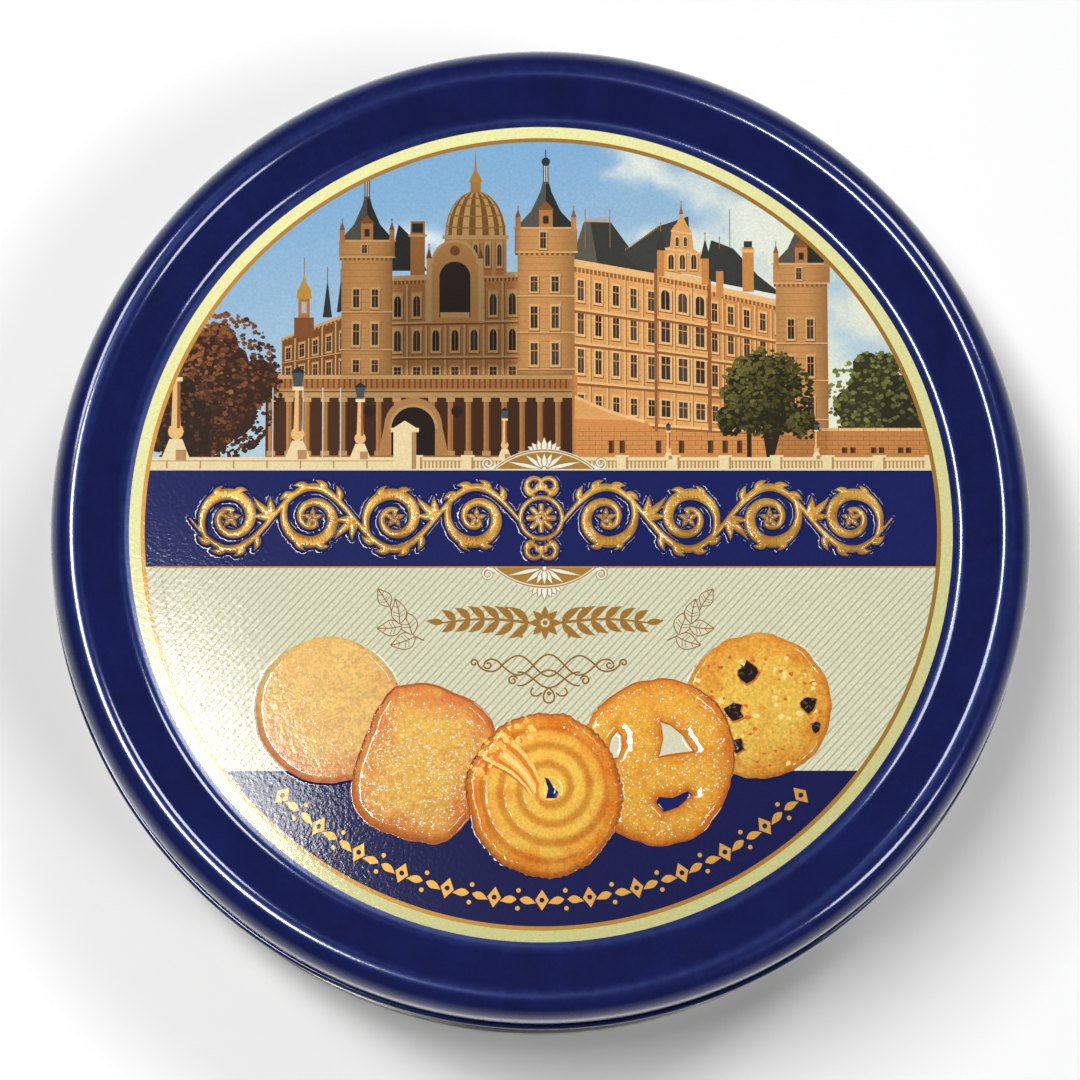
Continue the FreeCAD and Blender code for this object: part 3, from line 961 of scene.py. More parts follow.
def retaining_walls(art):
    """Coursed walls below the long front, with small openings."""
    art.fill([(6.0, 15), (60, 15), (60, 19.2), (47, 19.4), (22, 20.2), (20, 22.2), (6.0, 22.6)], STONE)
    art.fill([(6.5, 22.6), (6.5, 27.0), (13, 24.2), (20, 22.2)], LIT)
    art.line([(6.5, 26.8), (13, 24.0), (20, 22.0)], 0.6, TRIM)
    art.box(54, 15, 76, 20.6, STONE * 0.95)
    art.box(54, 20.2, 76, 20.8, TRIM)
    course, block = 0.85, 2.4
    for row in range(6):
        y = 15.8 + course * row
        art.box(7, y, 75, y + 0.09, SHADE)
        for k in range(28):
            x = 8 + block * k + 0.5 * block * (row % 2)
            art.box(x, y, x + 0.09, y + course, SHADE)
    for x in (13.5, 15.6, 22.6, 27.0, 32.6, 35.4, 38.2, 58.4, 60.0, 64.0, 65.5, 69.2, 70.7):
        top = 18.4 if x < 50 else 17.1
        art.box(x - 0.5, 16.0, x + 0.55, top, DEEP)
        art.box(x - 0.5, 16.0, x + 0.1, top, pick(70, 44, 30))


def balustrade(art):
    """Balustrade along the front: balusters and piers at the right, a closed parapet at the left."""
    art.box(-76, 12.0, 76, 15.2, RAIL_SHADE)
    for k in range(150):
        art.box(-30 + 0.72 * k, 13.1, -29.64 + 0.72 * k, 14.5, RAIL)
    art.box(-76, 12.8, -28, 14.6, RAIL * 0.97)
    for k in range(7):
        art.box(-72 + 6.4 * k, 12.8, -71.7 + 6.4 * k, 14.6, RAIL_SHADE)
    for low, high, color in ((14.5, 15.2, RAIL), (14.42, 14.54, SHADE), (12.6, 13.1, RAIL)):
        art.box(-76, low, 76, high, color)
    for k in range(11):
        x = -24 + 9.9 * k
        art.box(x - 1.1, 12.6, x + 1.1, 15.5, RAIL)
        art.box(x + 0.7, 12.6, x + 1.1, 15.3, RAIL_SHADE)
        art.box(x - 1.3, 15.2, x + 1.3, 15.6, RAIL)
    for x, foot, top in ((-70.2, 14.6, 35.0), (-46.8, 14.8, 32.6), (-34.8, 14.8, 29.6), (-7.0, 14.8, 24.8),
                         (24.5, 14.8, 21.8), (53.0, 14.8, 22.0)):
        lamp(art, x, foot, top)
    art.box(-28.4, 12.8, -24.0, 20.6, RAIL)
    art.box(-24.9, 12.8, -24.0, 20.6, RAIL_SHADE)
    art.box(-28.9, 20.0, -23.5, 20.8, RAIL)
    art.fill([(-28.4, 20.8), (-24.0, 20.8), (-26.2, 22.2)], RAIL)


def palace(art):
    """The whole scene, painted from back to front."""
    rng = random.Random(11)
    art.light = evening
    far_wing(art, rng)
    middle_wing(art, rng)
    domed_block(art, rng)
    long_front(art, rng)
    tree(art, 64.5, 26.5, 9.5, 9.0, pick(52, 52, 32), pick(128, 134, 66), 420, 5)
    tree(art, 72.0, 24.0, 7.5, 8.5, pick(44, 44, 28), pick(112, 116, 58), 200, 6)
    tower(art, -33.6, 4.9, 28, 57.0, ((0.12, 0.2), (0.30, 0.44), (0.55, 0.67)), 10.5, rng)
    tower(art, 50.4, 5.0, 18.5, 52.6, ((0.14, 0.24), (0.36, 0.47), (0.57, 0.68)), 10.0, rng)
    tower(art, 1.0, 5.5, 18.0, 59.5, ((0.17, 0.25), (0.36, 0.46), (0.53, 0.63), (0.70, 0.77)), 11.0, rng)
    terrace(art)
    retaining_walls(art)
    art.light = None
    tree(art, -62.5, 29, 12.5, 14.5, pick(56, 34, 22), pick(158, 96, 54), 1100, 3)
    tree(art, -70, 22, 8, 9, pick(46, 30, 20), pick(120, 76, 44), 200, 4)
    art.box(39.6, 15, 40.5, 22, TRUNK)
    art.fill([(43.4, 15), (44.8, 15), (46.6, 22), (42.4, 22)], TRUNK)
    shadow = pick(40, 38, 20)
    tree(art, 43.5, 27.5, 8.8, 8.6, shadow, pick(112, 106, 52), 800, 7)
    tree(art, 36.6, 22.4, 3.2, 3.0, shadow, pick(108, 102, 50), 80, 8)
    tree(art, 50.6, 21.4, 3.0, 2.6, shadow, pick(108, 102, 50), 70, 9)
    for x in (-51.6, -45.8, -42.0, -38.6):
        art.line([(x, 15), (x, 28.5)], 0.2, pick(196, 196, 196))
    balustrade(art)


# ---------------------------------------------------------------- the biscuits
class Biscuit:
    """Biscuit seen from above; reach(angle) is its radius before the edge is crinkled."""

    def __init__(self, cx, cy, reach, turn, crinkle, waves):
        self.cx, self.cy, self.reach = cx, cy, reach
        self.turn, self.crinkle, self.waves = turn, crinkle, waves

    def edge(self, angle):
        place = Vector((self.waves * math.cos(angle) / 3, self.waves * math.sin(angle) / 3, self.cx))
        wobble = noise.fractal(place, 0.8, 2.0, 3)
        return self.reach(angle) + self.crinkle * wobble

    def outline(self, grow=0.0, count=150):
        return [polar(self.edge(TAU * k / count) + grow, 360 * k / count + self.turn, self.cx, self.cy)
                for k in range(count)]

    def inside(self, x, y):
        """Distance in from the edge, toward the middle."""
        turn, dx, dy = math.radians(self.turn), x - self.cx, y - self.cy
        u = dx * math.cos(turn) + dy * math.sin(turn)
        v = dy * math.cos(turn) - dx * math.sin(turn)
        angles = np.linspace(-math.pi, math.pi, 241)
        return np.interp(np.arctan2(v, u), angles, [self.edge(a) for a in angles]) - np.hypot(u, v)


def superellipse(half_x, half_y, power):
    return lambda a: (abs(math.cos(a) / half_x) ** power + abs(math.sin(a) / half_y) ** power) ** (-1 / power)


PLAIN = Biscuit(-40.5, -34.8, lambda a: 14.0, 0, 0.25, 6)
SUGARED = Biscuit(-22.6, -45.0, superellipse(11.6, 14.3, 3.3), -20, 0.45, 9)
PIPED = Biscuit(0.5, -51.0, lambda a: 14.5 + 0.8 * math.sin(a) ** 2 + 0.14 * math.sin(62 * a), 0, 0.5, 9)
KNOT = Biscuit(22.1, -44.5, lambda a: 14.5 + 1.2 * math.sin(a) ** 2 - 0.3 * math.cos(3 * a + 0.7), 0, 0.45, 9)
FRUITED = Biscuit(41.4, -34.0, lambda a: 13.9, 0, 0.4, 9)
BISCUITS = (PLAIN, SUGARED, PIPED, KNOT, FRUITED)
KNOT_HOLES = (
    ((12.5, -44.0), (14.5, -43.9), (15.2, -42.2), (15.2, -39.8), (14.4, -38.9), (13.2, -40.5)),
    ((22.5, -43.5), (28.7, -42.6), (26.8, -39.6), (24.6, -37.8), (22.8, -37.2), (23.2, -40.2)),
    ((22.0, -51.4), (24.9, -51.6), (27.8, -50.3), (28.6, -51.0), (25.9, -53.4), (23.2, -54.3), (21.8, -52.6)),
)
PIPED_EYE = (1.5, -50.0)    # hole in the middle of the piped biscuit
RELIEFS = (                 # biscuit, rise, width of its rounded edge, roughness of its top
    (PLAIN, 0.75, 1.6, 0.003),
    (FRUITED, 0.7, 1.4, 0.009),
    (SUGARED, 0.75, 1.5, 0.008),
    (KNOT, 0.7, 1.5, 0.008),
    (PIPED, 0.85, 1.3, 0.004),
)
SUGAR = ((248, 226, 206), (242, 228, 226), (250, 214, 150), (250, 222, 176))
CRUMBS = ((214, 112, 34), (250, 214, 130), (232, 150, 56), (206, 96, 40))
FRUIT = ((84, 66, 66), (66, 50, 48), (104, 84, 82))
FLAKES = ((255, 200, 104), (226, 136, 50), (250, 178, 80))


def near_holes(x, y):
    """Distance to the nearest edge of the knot's holes; negative inside one."""
    result = np.full(len(x), 99.0)
    for hole in KNOT_HOLES:
        gap, within = np.full(len(x), 99.0), np.zeros(len(x), bool)
        for (ax, ay), (bx, by) in zip(hole, hole[1:] + hole[:1]):
            dx, dy = bx - ax, by - ay
            t = np.clip(((x - ax) * dx + (y - ay) * dy) / (dx ** 2 + dy ** 2), 0, 1)
            gap = np.minimum(gap, np.hypot(x - ax - t * dx, y - ay - t * dy))
            if dy != 0:
                within ^= ((ay > y) != (by > y)) & (x < dx * (y - ay) / dy + ax)
        result = np.minimum(result, np.where(within, -gap, gap))
    return result


def near_any(x, y):
    """Distance in from the edge of whichever biscuit is closest; negative on none."""
    return np.max([shape.inside(x, y) for shape in BISCUITS], axis=0)


def piped_ridge(x, y):
    """Height of the piped rings, 0 to 1."""
    dx, dy = x - PIPED_EYE[0], y - PIPED_EYE[1]
    sweep = np.hypot(dx, dy) - 0.58 * np.arctan2(-dx, dy)
    swell = 0.5 + 0.5 * np.cos(TAU * (sweep + 0.6) / 3.6)
    return np.where(PIPED.inside(x, y) > 2.2, smoothstep(1.3 * swell), 0.55)


def biscuit_height(x, y):
    """Relief of the five biscuits, in millimetres."""
    height = np.zeros(len(x))
    zone = (y < -15) & (np.abs(x) < 60)
    if not zone.any():
        return height
    x, y = x[zone], y[zone]
    crumb = clouding(x, y, 1.5, 9.0, 3)
    total = np.zeros(len(x))
    for shape, rise, edge, rough in RELIEFS:
        inside = shape.inside(x, y)
        if shape is KNOT:
            inside = np.minimum(inside, near_holes(x, y))
        if shape is PIPED:
            inside = np.minimum(inside, np.hypot(x - PIPED_EYE[0], y - PIPED_EYE[1]) - 1.5)
        level = rise * smoothstep((inside + 0.4) / edge) + smoothstep(inside / 1.5) * (rough * crumb)
        if shape is PIPED:
            level = level + 0.025 * smoothstep(inside / 1.2) * (piped_ridge(x, y) - 0.5)
        if shape is KNOT:
            level = level * (0.72 + 0.28 * smoothstep(inside / 2.6))
        total = np.where(inside > -0.3, level, total)
    height[zone] = np.maximum(total, 0)
    return height


def biscuit_color(shape, centre, edge, grain_mm, rough, light=0.14):
    """Baked colour: browner toward the edge, uneven, lit from the upper left."""
    def color(x, y):
        inside, reach = shape.inside(x, y), 6.5
        if shape is KNOT:
            inside, reach = np.minimum(inside, near_holes(x, y) + 0.4), 3.2
        bake = 1 - np.clip(inside / reach, 0, 1) + 0.5 * clouding(x, y, 4.5, 1.0, 3)
        if shape is PLAIN:
            bake = bake * (0.6 - 0.05 * (y - shape.cy))
        base = blend(centre, edge, bake)
        tone = 1 + light * ((y - shape.cy) * 0.7 - (x - shape.cx) * 0.2) / 14
        if shape is PLAIN:
            wrinkle = np.abs(clouding(0.5 * (x + 0.4 * y), 1.3 * (y - 0.4 * x), 1.0, 2.0, 2))
            tone = tone + np.minimum(wrinkle, 0.3) - 0.12
        tone = tone + rough * clouding(x, y, grain_mm, 2.0, 4) - 0.13 * smoothstep(1 - inside / 0.7)
        if shape is PIPED:
            ridge = piped_ridge(x, y)
            comb = np.sin(46 * np.arctan2(y - shape.cy, x - shape.cx) + 3 * clouding(x, y, 2.0, 5.0, 2))
            tone = tone * (0.88 + 0.24 * ridge) + 0.045 * comb * (inside < 5.4)
            base = blend(base * (0.9, 0.6, 0.34), base, 0.1 + ridge)
        return base * np.clip(0.76 * tone, 0.28, 1.2)[:, None]
    return color


def sugar(art, shape, count, seed, reach=0.9):
    """Grains of sugar strewn over a biscuit."""
    rng = random.Random(seed)
    for _ in range(count):
        a, r = rng.uniform(0, TAU), math.sqrt(rng.random()) * reach
        radius = shape.reach(a - math.radians(shape.turn)) * r
        x, y = polar(radius, math.degrees(a), shape.cx, shape.cy)
        if shape is KNOT and near_holes(np.array([x]), np.array([y]))[0] < 0.6:
            continue
        size, turn = rng.uniform(0.10, 0.27), rng.uniform(0, 2)
        crystal = ragged(rng, x, y, size, 4, (0.6, 1.3), (0.5, 1.1), turn)
        art.fill(crystal, any_of(rng, SUGAR), BISCUIT_INK)


def any_of(rng, colors):
    return pick(*rng.choice(colors))


def fruited_biscuit(art):
    """Biscuit with coarse crumbs and pieces of dark fruit."""
    dough = biscuit_color(FRUITED, pick(255, 206, 88), pick(240, 152, 50), 0.7, 0.3)
    art.fill(FRUITED.outline(), dough, BISCUIT_INK)
    rng = random.Random(21)
    for _ in range(90):
        a, r = rng.uniform(0, TAU), 12.6 * math.sqrt(rng.random())
        spot = polar(r, math.degrees(a), FRUITED.cx, FRUITED.cy)
        crumb = ragged(rng, *spot, rng.uniform(0.25, 0.8), 6, (0.5, 1.2), (0.4, 1))
        art.fill(crumb, any_of(rng, CRUMBS), BISCUIT_INK)
    for x, y, size in ((39.4, -27.6, 1.8), (36.7, -35.0, 1.8), (51.0, -33.7, 1.5), (52.3, -38.1, 1.0),
                       (37.4, -41.6, 1.3)):
        fruit = ragged(rng, x, y, size, 11, (0.62, 1.18), (0.7, 1.15), 0, 1.15)
        rim = [(x + 1.14 * (a - x) + 0.1, y + 1.14 * (b - y) - 0.15) for a, b in fruit]
        art.fill(rim, pick(190, 110, 44), BISCUIT_INK)
        art.fill(fruit, pick(34, 22, 20), BISCUIT_INK)
        for _ in range(7):
            u, v = rng.uniform(-0.6, 0.5) * size, rng.uniform(-0.7, 0.7) * size
            gleam = sprout(x + u, y + v, rng.uniform(0, 180), 0.9, 0.3, 40)
            art.line(*gleam, any_of(rng, FRUIT), BISCUIT_INK)


def piped_biscuit(art):
    """Biscuit piped in rings; the end of the strip lies over them from the upper left."""
    art.fill(PIPED.outline(0.35), pick(170, 92, 30), BISCUIT_INK)
    dough = biscuit_color(PIPED, pick(255, 202, 84), pick(244, 144, 40), 0.6, 0.1)
    art.fill(PIPED.outline(0, 310), dough, BISCUIT_INK)
    rng = random.Random(5)
    rib = bezier((-9.6, -41.6), (-7.0, -43.2), (-3.2, -45.4), (-1.0, -50.6), 26)
    narrow = taper(rib, 1.0, 0.95, 0.8, 0.62, 0.4)
    for off, wide, ink in (
            (0.0, 7.2, (206, 116, 38)),
            (0.3, 6.5, (248, 178, 78)),
            (-1.9, 1.0, (214, 126, 42)),
            (1.7, 1.1, (218, 130, 44)),
            (-2.6, 0.9, (255, 206, 116)),
            (-0.2, 1.3, (255, 214, 128)),
            (2.8, 0.7, (255, 204, 112))):
        banks = []
        for way in (1, -1):
            edge = narrow * (off + way * wide / 2 + 0.1 * rng.uniform(-1, 1))
            banks.append(rib + normals(rib) * (edge + [rng.uniform(-0.09, 0.09) for _ in rib])[:, None])
        art.fill(np.concatenate([banks[0], banks[1][::-1]]), pick(*ink), BISCUIT_INK)
    for _ in range(70):
        bearing, distance = rng.uniform(100, 166), rng.uniform(11.2, 15.2)
        spot, size = polar(distance, bearing, PIPED.cx, PIPED.cy), rng.uniform(0.3, 0.75)
        art.dot(*spot, size, any_of(rng, FLAKES), BISCUIT_INK, 6)
    art.dot(*PIPED_EYE, 2.5, pick(255, 206, 96), BISCUIT_INK, 24)
    art.line(arc(*PIPED_EYE, 2.4, 150, 330, 14), 0.5, pick(226, 146, 54), BISCUIT_INK)
    art.fill([(0.5, -47.7), (1.3, -48.0), (2.2, -49.4), (3.2, -50.6), (2.8, -51.7), (0.8, -51.7),
              (1.2, -49.8)], BAND_NAVY)


def biscuits(art):
    """The five biscuits, the ones behind first."""
    dough = biscuit_color(PLAIN, pick(250, 202, 118), pick(238, 146, 92), 0.9, 0.06, 0.1)
    art.fill(PLAIN.outline(), dough, BISCUIT_INK)
    fruited_biscuit(art)
    art.fill(SUGARED.outline(0.5), pick(176, 96, 46), BISCUIT_INK)
    dough = biscuit_color(SUGARED, pick(255, 198, 92), pick(240, 140, 70), 0.8, 0.26)
    art.fill(SUGARED.outline(), dough, BISCUIT_INK)
    sugar(art, SUGARED, 800, 31)
    art.fill(KNOT.outline(0.3), pick(170, 92, 36), BISCUIT_INK)
    dough = biscuit_color(KNOT, pick(255, 186, 66), pick(238, 136, 44), 0.8, 0.2)
    art.fill(KNOT.outline(), dough, BISCUIT_INK)
    sugar(art, KNOT, 620, 32, 0.94)
    for hole in KNOT_HOLES:
        cx, cy = np.mean(hole, axis=0)
        rim = [(cx + 1.14 * (a - cx), cy + 1.14 * (b - cy)) for a, b in hole]
        art.fill(rim, pick(188, 104, 34), BISCUIT_INK)
        art.fill(hole, BAND_NAVY if cy < SEGMENT_TOP else CREAM)
    piped_biscuit(art)


def circle(radius, count=240, first=0.0, last=360.0):
    return arc(0, 0, radius, first, last, count)


def dense(zone, step, seed):
    """Jittered grid of places that satisfy zone(x, y)."""
    rng = np.random.default_rng(seed)
    x, y = np.meshgrid(np.arange(-76, 76, step), np.arange(-76, 76, step))
    x = (x + rng.uniform(-0.3, 0.3, x.shape) * step).ravel()
    y = (y + rng.uniform(-0.3, 0.3, y.shape) * step).ravel()
    keep = zone(x, y)
    return list(zip(x[keep], y[keep]))


def chord(radius, y, upper):
    """Part of a disc above or below a level line."""
    a = math.degrees(math.asin(y / radius))
    return circle(radius, 200, a, 180 - a) if upper else circle(radius, 200, 180 - a, 360 + a)


def print_picture(inks):
    """The palace above the band."""
    art = Artwork(chord(PICTURE_RADIUS, BAND_TOP, True), sky)
    art.loose += dense(lambda x, y: (np.hypot(x, y) < 75.6) & (y > 24), 1.5, 1)
    art.sag = 1.4
    palace(art)
    art.sag = 0.0
    fan(art, 0.6, BAND_TOP + 0.2, 1)
    art.box(-PICTURE_RADIUS, BAND_TOP, PICTURE_RADIUS, BAND_TOP + 0.3, CREAM)
    art.skin("lid_picture", inks)


def print_band(inks):
    """The navy band with its raised scroll."""
    rim = [p for p in circle(PICTURE_RADIUS, 720) if BAND_FOOT < p[1] < BAND_TOP]
    right = sorted((p for p in rim if p[0] > 0), key=lambda p: p[1])
    left = sorted((p for p in rim if p[0] < 0), key=lambda p: -p[1])
    low, high = (math.sqrt(PICTURE_RADIUS ** 2 - level ** 2) for level in (BAND_FOOT, BAND_TOP))
    outline = [(low, BAND_FOOT)] + right + [(high, BAND_TOP), (-high, BAND_TOP)] + left + [(-low, BAND_FOOT)]
    art = Artwork(outline, BAND_NAVY)
    title_scroll(art)
    art.loose += dense(lambda x, y: (y > BAND_FOOT) & (y < BAND_TOP) & (TITLE.depth(x, y) > -0.9), 0.36, 2)
    art.skin("lid_title", inks, relief)


def field_lines(art):
    """Slanting lines over the cream field, stopped at the biscuits."""
    level = np.arange(SEGMENT_TOP - 0.1, BAND_FOOT + 0.1, 0.3)
    for k in range(-60, 86):
        x = 1.62 * k - 20 + 0.9325 * (level + 46)
        close = near_any(x, level)
        clear = np.concatenate([[0], (close < 0.2).astype(int), [0]])
        ends = np.flatnonzero(np.diff(clear))
        for first, last in zip(ends[::2], ends[1::2] - 1):
            if last > first:
                run = [i for i in range(first, last + 1) if i in (first, last) or close[i] > -1.6]
                art.fill([(x[i], level[i]) for i in run] + [(x[i] + 0.42, level[i]) for i in run[::-1]],
                         pick(180, 178, 148))


def print_field(inks):
    """The cream field with its ornaments, the navy segment at the front and the biscuits over both."""
    def cream(x, y):
        return blend(CREAM, pick(212, 213, 182), (x + 60) / 120)
    art = Artwork(chord(PICTURE_RADIUS, BAND_FOOT, False), cream)
    field_lines(art)
    art.box(-PICTURE_RADIUS, BAND_FOOT - 0.3, PICTURE_RADIUS, BAND_FOOT, GOLD)
    fan(art, 0.6, BAND_FOOT - 0.3, -1)
    garland(art, 0.7, -18.0)
    sprig(art, -22.4, -20.0, 1)
    sprig(art, 24.0, -20.0, -1)
    flourish(art, 1.4, -26.2)
    for angle in np.linspace(187, 216, 36):
        art.dot(*polar(73.2, angle), 0.3, pick(176, 170, 140), sides=6)
    reach = PICTURE_RADIUS + 0.5
    shore = math.sqrt(reach ** 2 - SEGMENT_TOP ** 2)
    straight = [(x, SEGMENT_TOP) for x in np.arange(shore - 0.5, -shore, -0.5)]
    art.fill(chord(reach, SEGMENT_TOP, False) + straight, SEGMENT_NAVY)
    border_chain(art)
    biscuits(art)
    art.loose += dense(lambda x, y: near_any(x, y) > -0.8, 0.42, 3)
    art.loose += dense(lambda x, y: PLAIN.inside(x, y) > 0, 0.32, 4)
    art.skin("lid_lower", inks, relief)


def print_ring(inks):
    """The pale gold ring round the picture, with painted shade that darkens it toward the lower right, and the
    dark line inside it.
    """
    def pale_gold_painted_shade(x, y):
        # painted shade: the ring is lighter toward the upper left and darker toward the lower right
        return blend(pick(236, 234, 168), pick(196, 193, 132), 0.48 + (0.5 * x - y) / 170)
    art = Artwork(circle(RING_RADIUS, 360), pale_gold_painted_shade)
    art.fill(circle(LINE_RADIUS, 360), DARK_GOLD, GOLD_INK)
    art.fill(circle(PICTURE_RADIUS, 360), None)
    art.skin("lid_ring", inks)


def wall_print(gold):
    """Gold lines and a running leaf scroll around the wall."""
    round_wall = TAU * WALL_RADIUS
    waves, middle = 24, 22.8
    pitch = round_wall / waves
    coil = (8.6, 2.0, 36, -1.45, (0.8, 2.0, 1.8, 1.3, 0.9))
    rim = [(angle, 8.6, 8.4, 0.9, 38, length, 1.8, -46)
           for angle, length in ((146, 4.2), (112, 4.0), (76, 4.2), (44, 3.8))]
    shoots = (0.8, 0.5, 2.1, ((24, 8.0, 36), (-8, 6.2, 20), (58, 5.6, 40)))
    strokes = []
    x = np.linspace(0, round_wall, 481)
    for height, wide in ((40.6, 0.5), (39.2, 1.3), (6.4, 1.3), (5.0, 0.5)):
        strokes.append((np.column_stack([x, np.full(len(x), height)]), wide))
    x = np.linspace(0, round_wall, 1201)
    strokes.append((np.column_stack([x, middle + 8.4 * np.sin(math.pi * x / pitch)]), 1.1))
    for k in range(waves):
        strokes += wave(k, 0, pitch, middle, coil, (6, 0, 0, 2.6, 1.3), rim, shoots)
    flat = np.array([quad for path, widths in strokes for quad in ribbon(path, widths)]).reshape(-1, 2)
    turn = flat[:, 0] / WALL_RADIUS
    radius = WALL_RADIUS + INK_LIFT
    solid = np.column_stack([radius * np.cos(turn), radius * np.sin(turn), flat[:, 1]]) * MM
    mesh = bpy.data.meshes.new("wall_print")
    mesh.from_pydata(solid.tolist(), [], np.arange(len(flat)).reshape(-1, 4).tolist())
    mesh.materials.append(gold)
    piece = new_object("wall_print", mesh)
    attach(piece, "tin")


def gold_print(name):
    """Gold ink on the wall."""
    color = srgb(186, 140, 62)
    material, tree, shader = principled(name, color, 0.32, 0.25, 1.0, 0.06, UNDER_COAT)
    tree.links.new(vary(tree, color, grain(tree, 1.5, 4.0), 0.9, 1.1), shader.inputs["Base Color"])
    orange_peel(tree, shader, 0.005)
    return material


def relief(x, y):
    """Embossing of the panel, in millimetres."""
    x, y = np.asarray(x, float), np.asarray(y, float)
    height = biscuit_height(x, y)
    zone = (y > BAND_FOOT) & (y < BAND_TOP)
    if zone.any():
        height[zone] += TITLE_RISE * smoothstep((TITLE.depth(x[zone], y[zone]) + 0.45) / 0.85)
    return height


def under_relief(points):
    """The same embossing for the metal, kept just under the printed skin."""
    step = 0.8
    axis = np.arange(-82, 82 + step / 2, step)
    x, y = np.meshgrid(axis, axis)
    grid = relief(x.ravel(), y.ravel()).reshape(x.shape)
    low = grid.copy()
    for dx in (-2, -1, 0, 1, 2):
        for dy in (-2, -1, 0, 1, 2):
            low = np.minimum(low, np.roll(grid, (dy, dx), (0, 1)))
    u = (points[:, 0] - axis[0]) / step
    v = (points[:, 1] - axis[0]) / step
    i = np.clip(u.astype(int), 0, len(axis) - 2)
    j = np.clip(v.astype(int), 0, len(axis) - 2)
    fu, fv = np.clip(u - i, 0, 1), np.clip(v - j, 0, 1)
    value = (low[j, i] * (1 - fu) * (1 - fv) + low[j, i + 1] * fu * (1 - fv) +
             low[j + 1, i] * (1 - fu) * fv + low[j + 1, i + 1] * fu * fv)
    return np.where(np.hypot(points[:, 0], points[:, 1]) < RING_RADIUS, value, 0)


# ---------------------------------------------------------------- the lid's metal
def lid_section():
    """Section of the lid's sheet: outside from the middle to the rolled edge, then back underneath."""
    tilt = math.degrees(math.atan2(PANEL_SINK, SLOPE_HEAD - SLOPE_FOOT))
    tangent = BEND_RADIUS * math.tan(math.radians(tilt / 2))
    outer = [(radius, PANEL) for radius in np.linspace(0, RING_RADIUS - 0.5, 56)]
    outer += arc(SLOPE_FOOT - tangent, PANEL + BEND_RADIUS, BEND_RADIUS, -90, -90 + tilt, 10)
    outer += arc(SLOPE_HEAD + tangent, TOP - BEND_RADIUS, BEND_RADIUS, 90 + tilt, 90, 10)
    outer += arc(SKIRT_RADIUS - SHOULDER_RADIUS, TOP - SHOULDER_RADIUS, SHOULDER_RADIUS, 90, 0, 20)
    curl_centre = SKIRT_RADIUS - METAL + 0.5 * LID_CURL
    curl_in = arc(curl_centre, CURL_HEIGHT, 0.5 * LID_CURL - METAL, 180, 180 + CURL_TURN, 18)
    curl_out = arc(curl_centre, CURL_HEIGHT, 0.5 * LID_CURL, 180 + CURL_TURN, 180, 24)
    inner = arc(SKIRT_RADIUS - SHOULDER_RADIUS, TOP - SHOULDER_RADIUS, SHOULDER_RADIUS - METAL, 0, 90, 20)
    inner += arc(SLOPE_HEAD + tangent, TOP - BEND_RADIUS, BEND_RADIUS - METAL, 90, 90 + tilt, 10)
    inner += arc(SLOPE_FOOT - tangent, PANEL + BEND_RADIUS, BEND_RADIUS + METAL, -90 + tilt, -90, 10)
    inner += [(radius, PANEL - METAL) for radius in np.linspace(RING_RADIUS - 0.5, 0, 56)]
    return stretch(outer + curl_in + curl_out, 0) + stretch(inner, 1)


# ---------------------------------------------------------------- wall and base
def wall_section():
    hook = WALL_RADIUS + METAL + 2 * FOLD_GAP
    hook_top = SEAM_HEIGHT - METAL - FOLD_GAP
    curl_height = MOUTH - 0.5 * MOUTH_CURL
    centre = WALL_RADIUS - 0.5 * MOUTH_CURL
    outside = [
        (WALL_RADIUS - METAL, METAL + FOLD_GAP),
        (hook + METAL, METAL + FOLD_GAP),
        (hook + METAL, hook_top),
        (hook, hook_top),
        (hook, 2 * METAL + FOLD_GAP),
        (WALL_RADIUS, 2 * METAL + FOLD_GAP),
    ]
    curl_out = arc(centre, curl_height, 0.5 * MOUTH_CURL, 0, CURL_TURN, 24)
    curl_in = arc(centre, curl_height, 0.5 * MOUTH_CURL - METAL, CURL_TURN, 0, 24)
    return stretch(outside, 0) + stretch(curl_out, 2) + stretch(curl_in, 1)


def lap_seam(material):
    """Second layer where the wall's ends overlap: a low strip inside the wall at the back."""
    half = 0.5 * LAP_WIDTH / WALL_RADIUS
    outer, inner = WALL_RADIUS - 0.5 * METAL, WALL_RADIUS - 2 * METAL
    low, high = BASE_SINK + STEP_RISE + 2 * METAL, MOUTH - 2 * MOUTH_CURL + 0.2
    ends = [(-1, 0), (-0.88, 1), (0.88, 1), (1, 0)]
    stations = [(end * half, outer + (inner - outer) * depth) for end, depth in ends[:2]]
    stations += [(share * half, inner) for share in np.linspace(-0.7, 0.7, 5)]
    stations += [(end * half, outer + (inner - outer) * depth) for end, depth in ends[2:]]
    points = [(radius * math.sin(turn), radius * math.cos(turn), height)
              for height in (low, high) for turn, radius in stations]
    count = len(stations)
    faces = [(k, k + 1, count + k + 1, count + k) for k in range(count - 1)]
    faces += [(count - 1, 0, count, 2 * count - 1), tuple(range(count))[::-1], tuple(range(count, 2 * count))]
    mesh = bpy.data.meshes.new("lap_seam")
    mesh.from_pydata([[value * MM for value in point] for point in points], [], faces)
    mesh.materials.append(material)
    smooth(mesh, 20)
    piece = new_object("lap_seam", mesh)
    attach(piece, "tin")


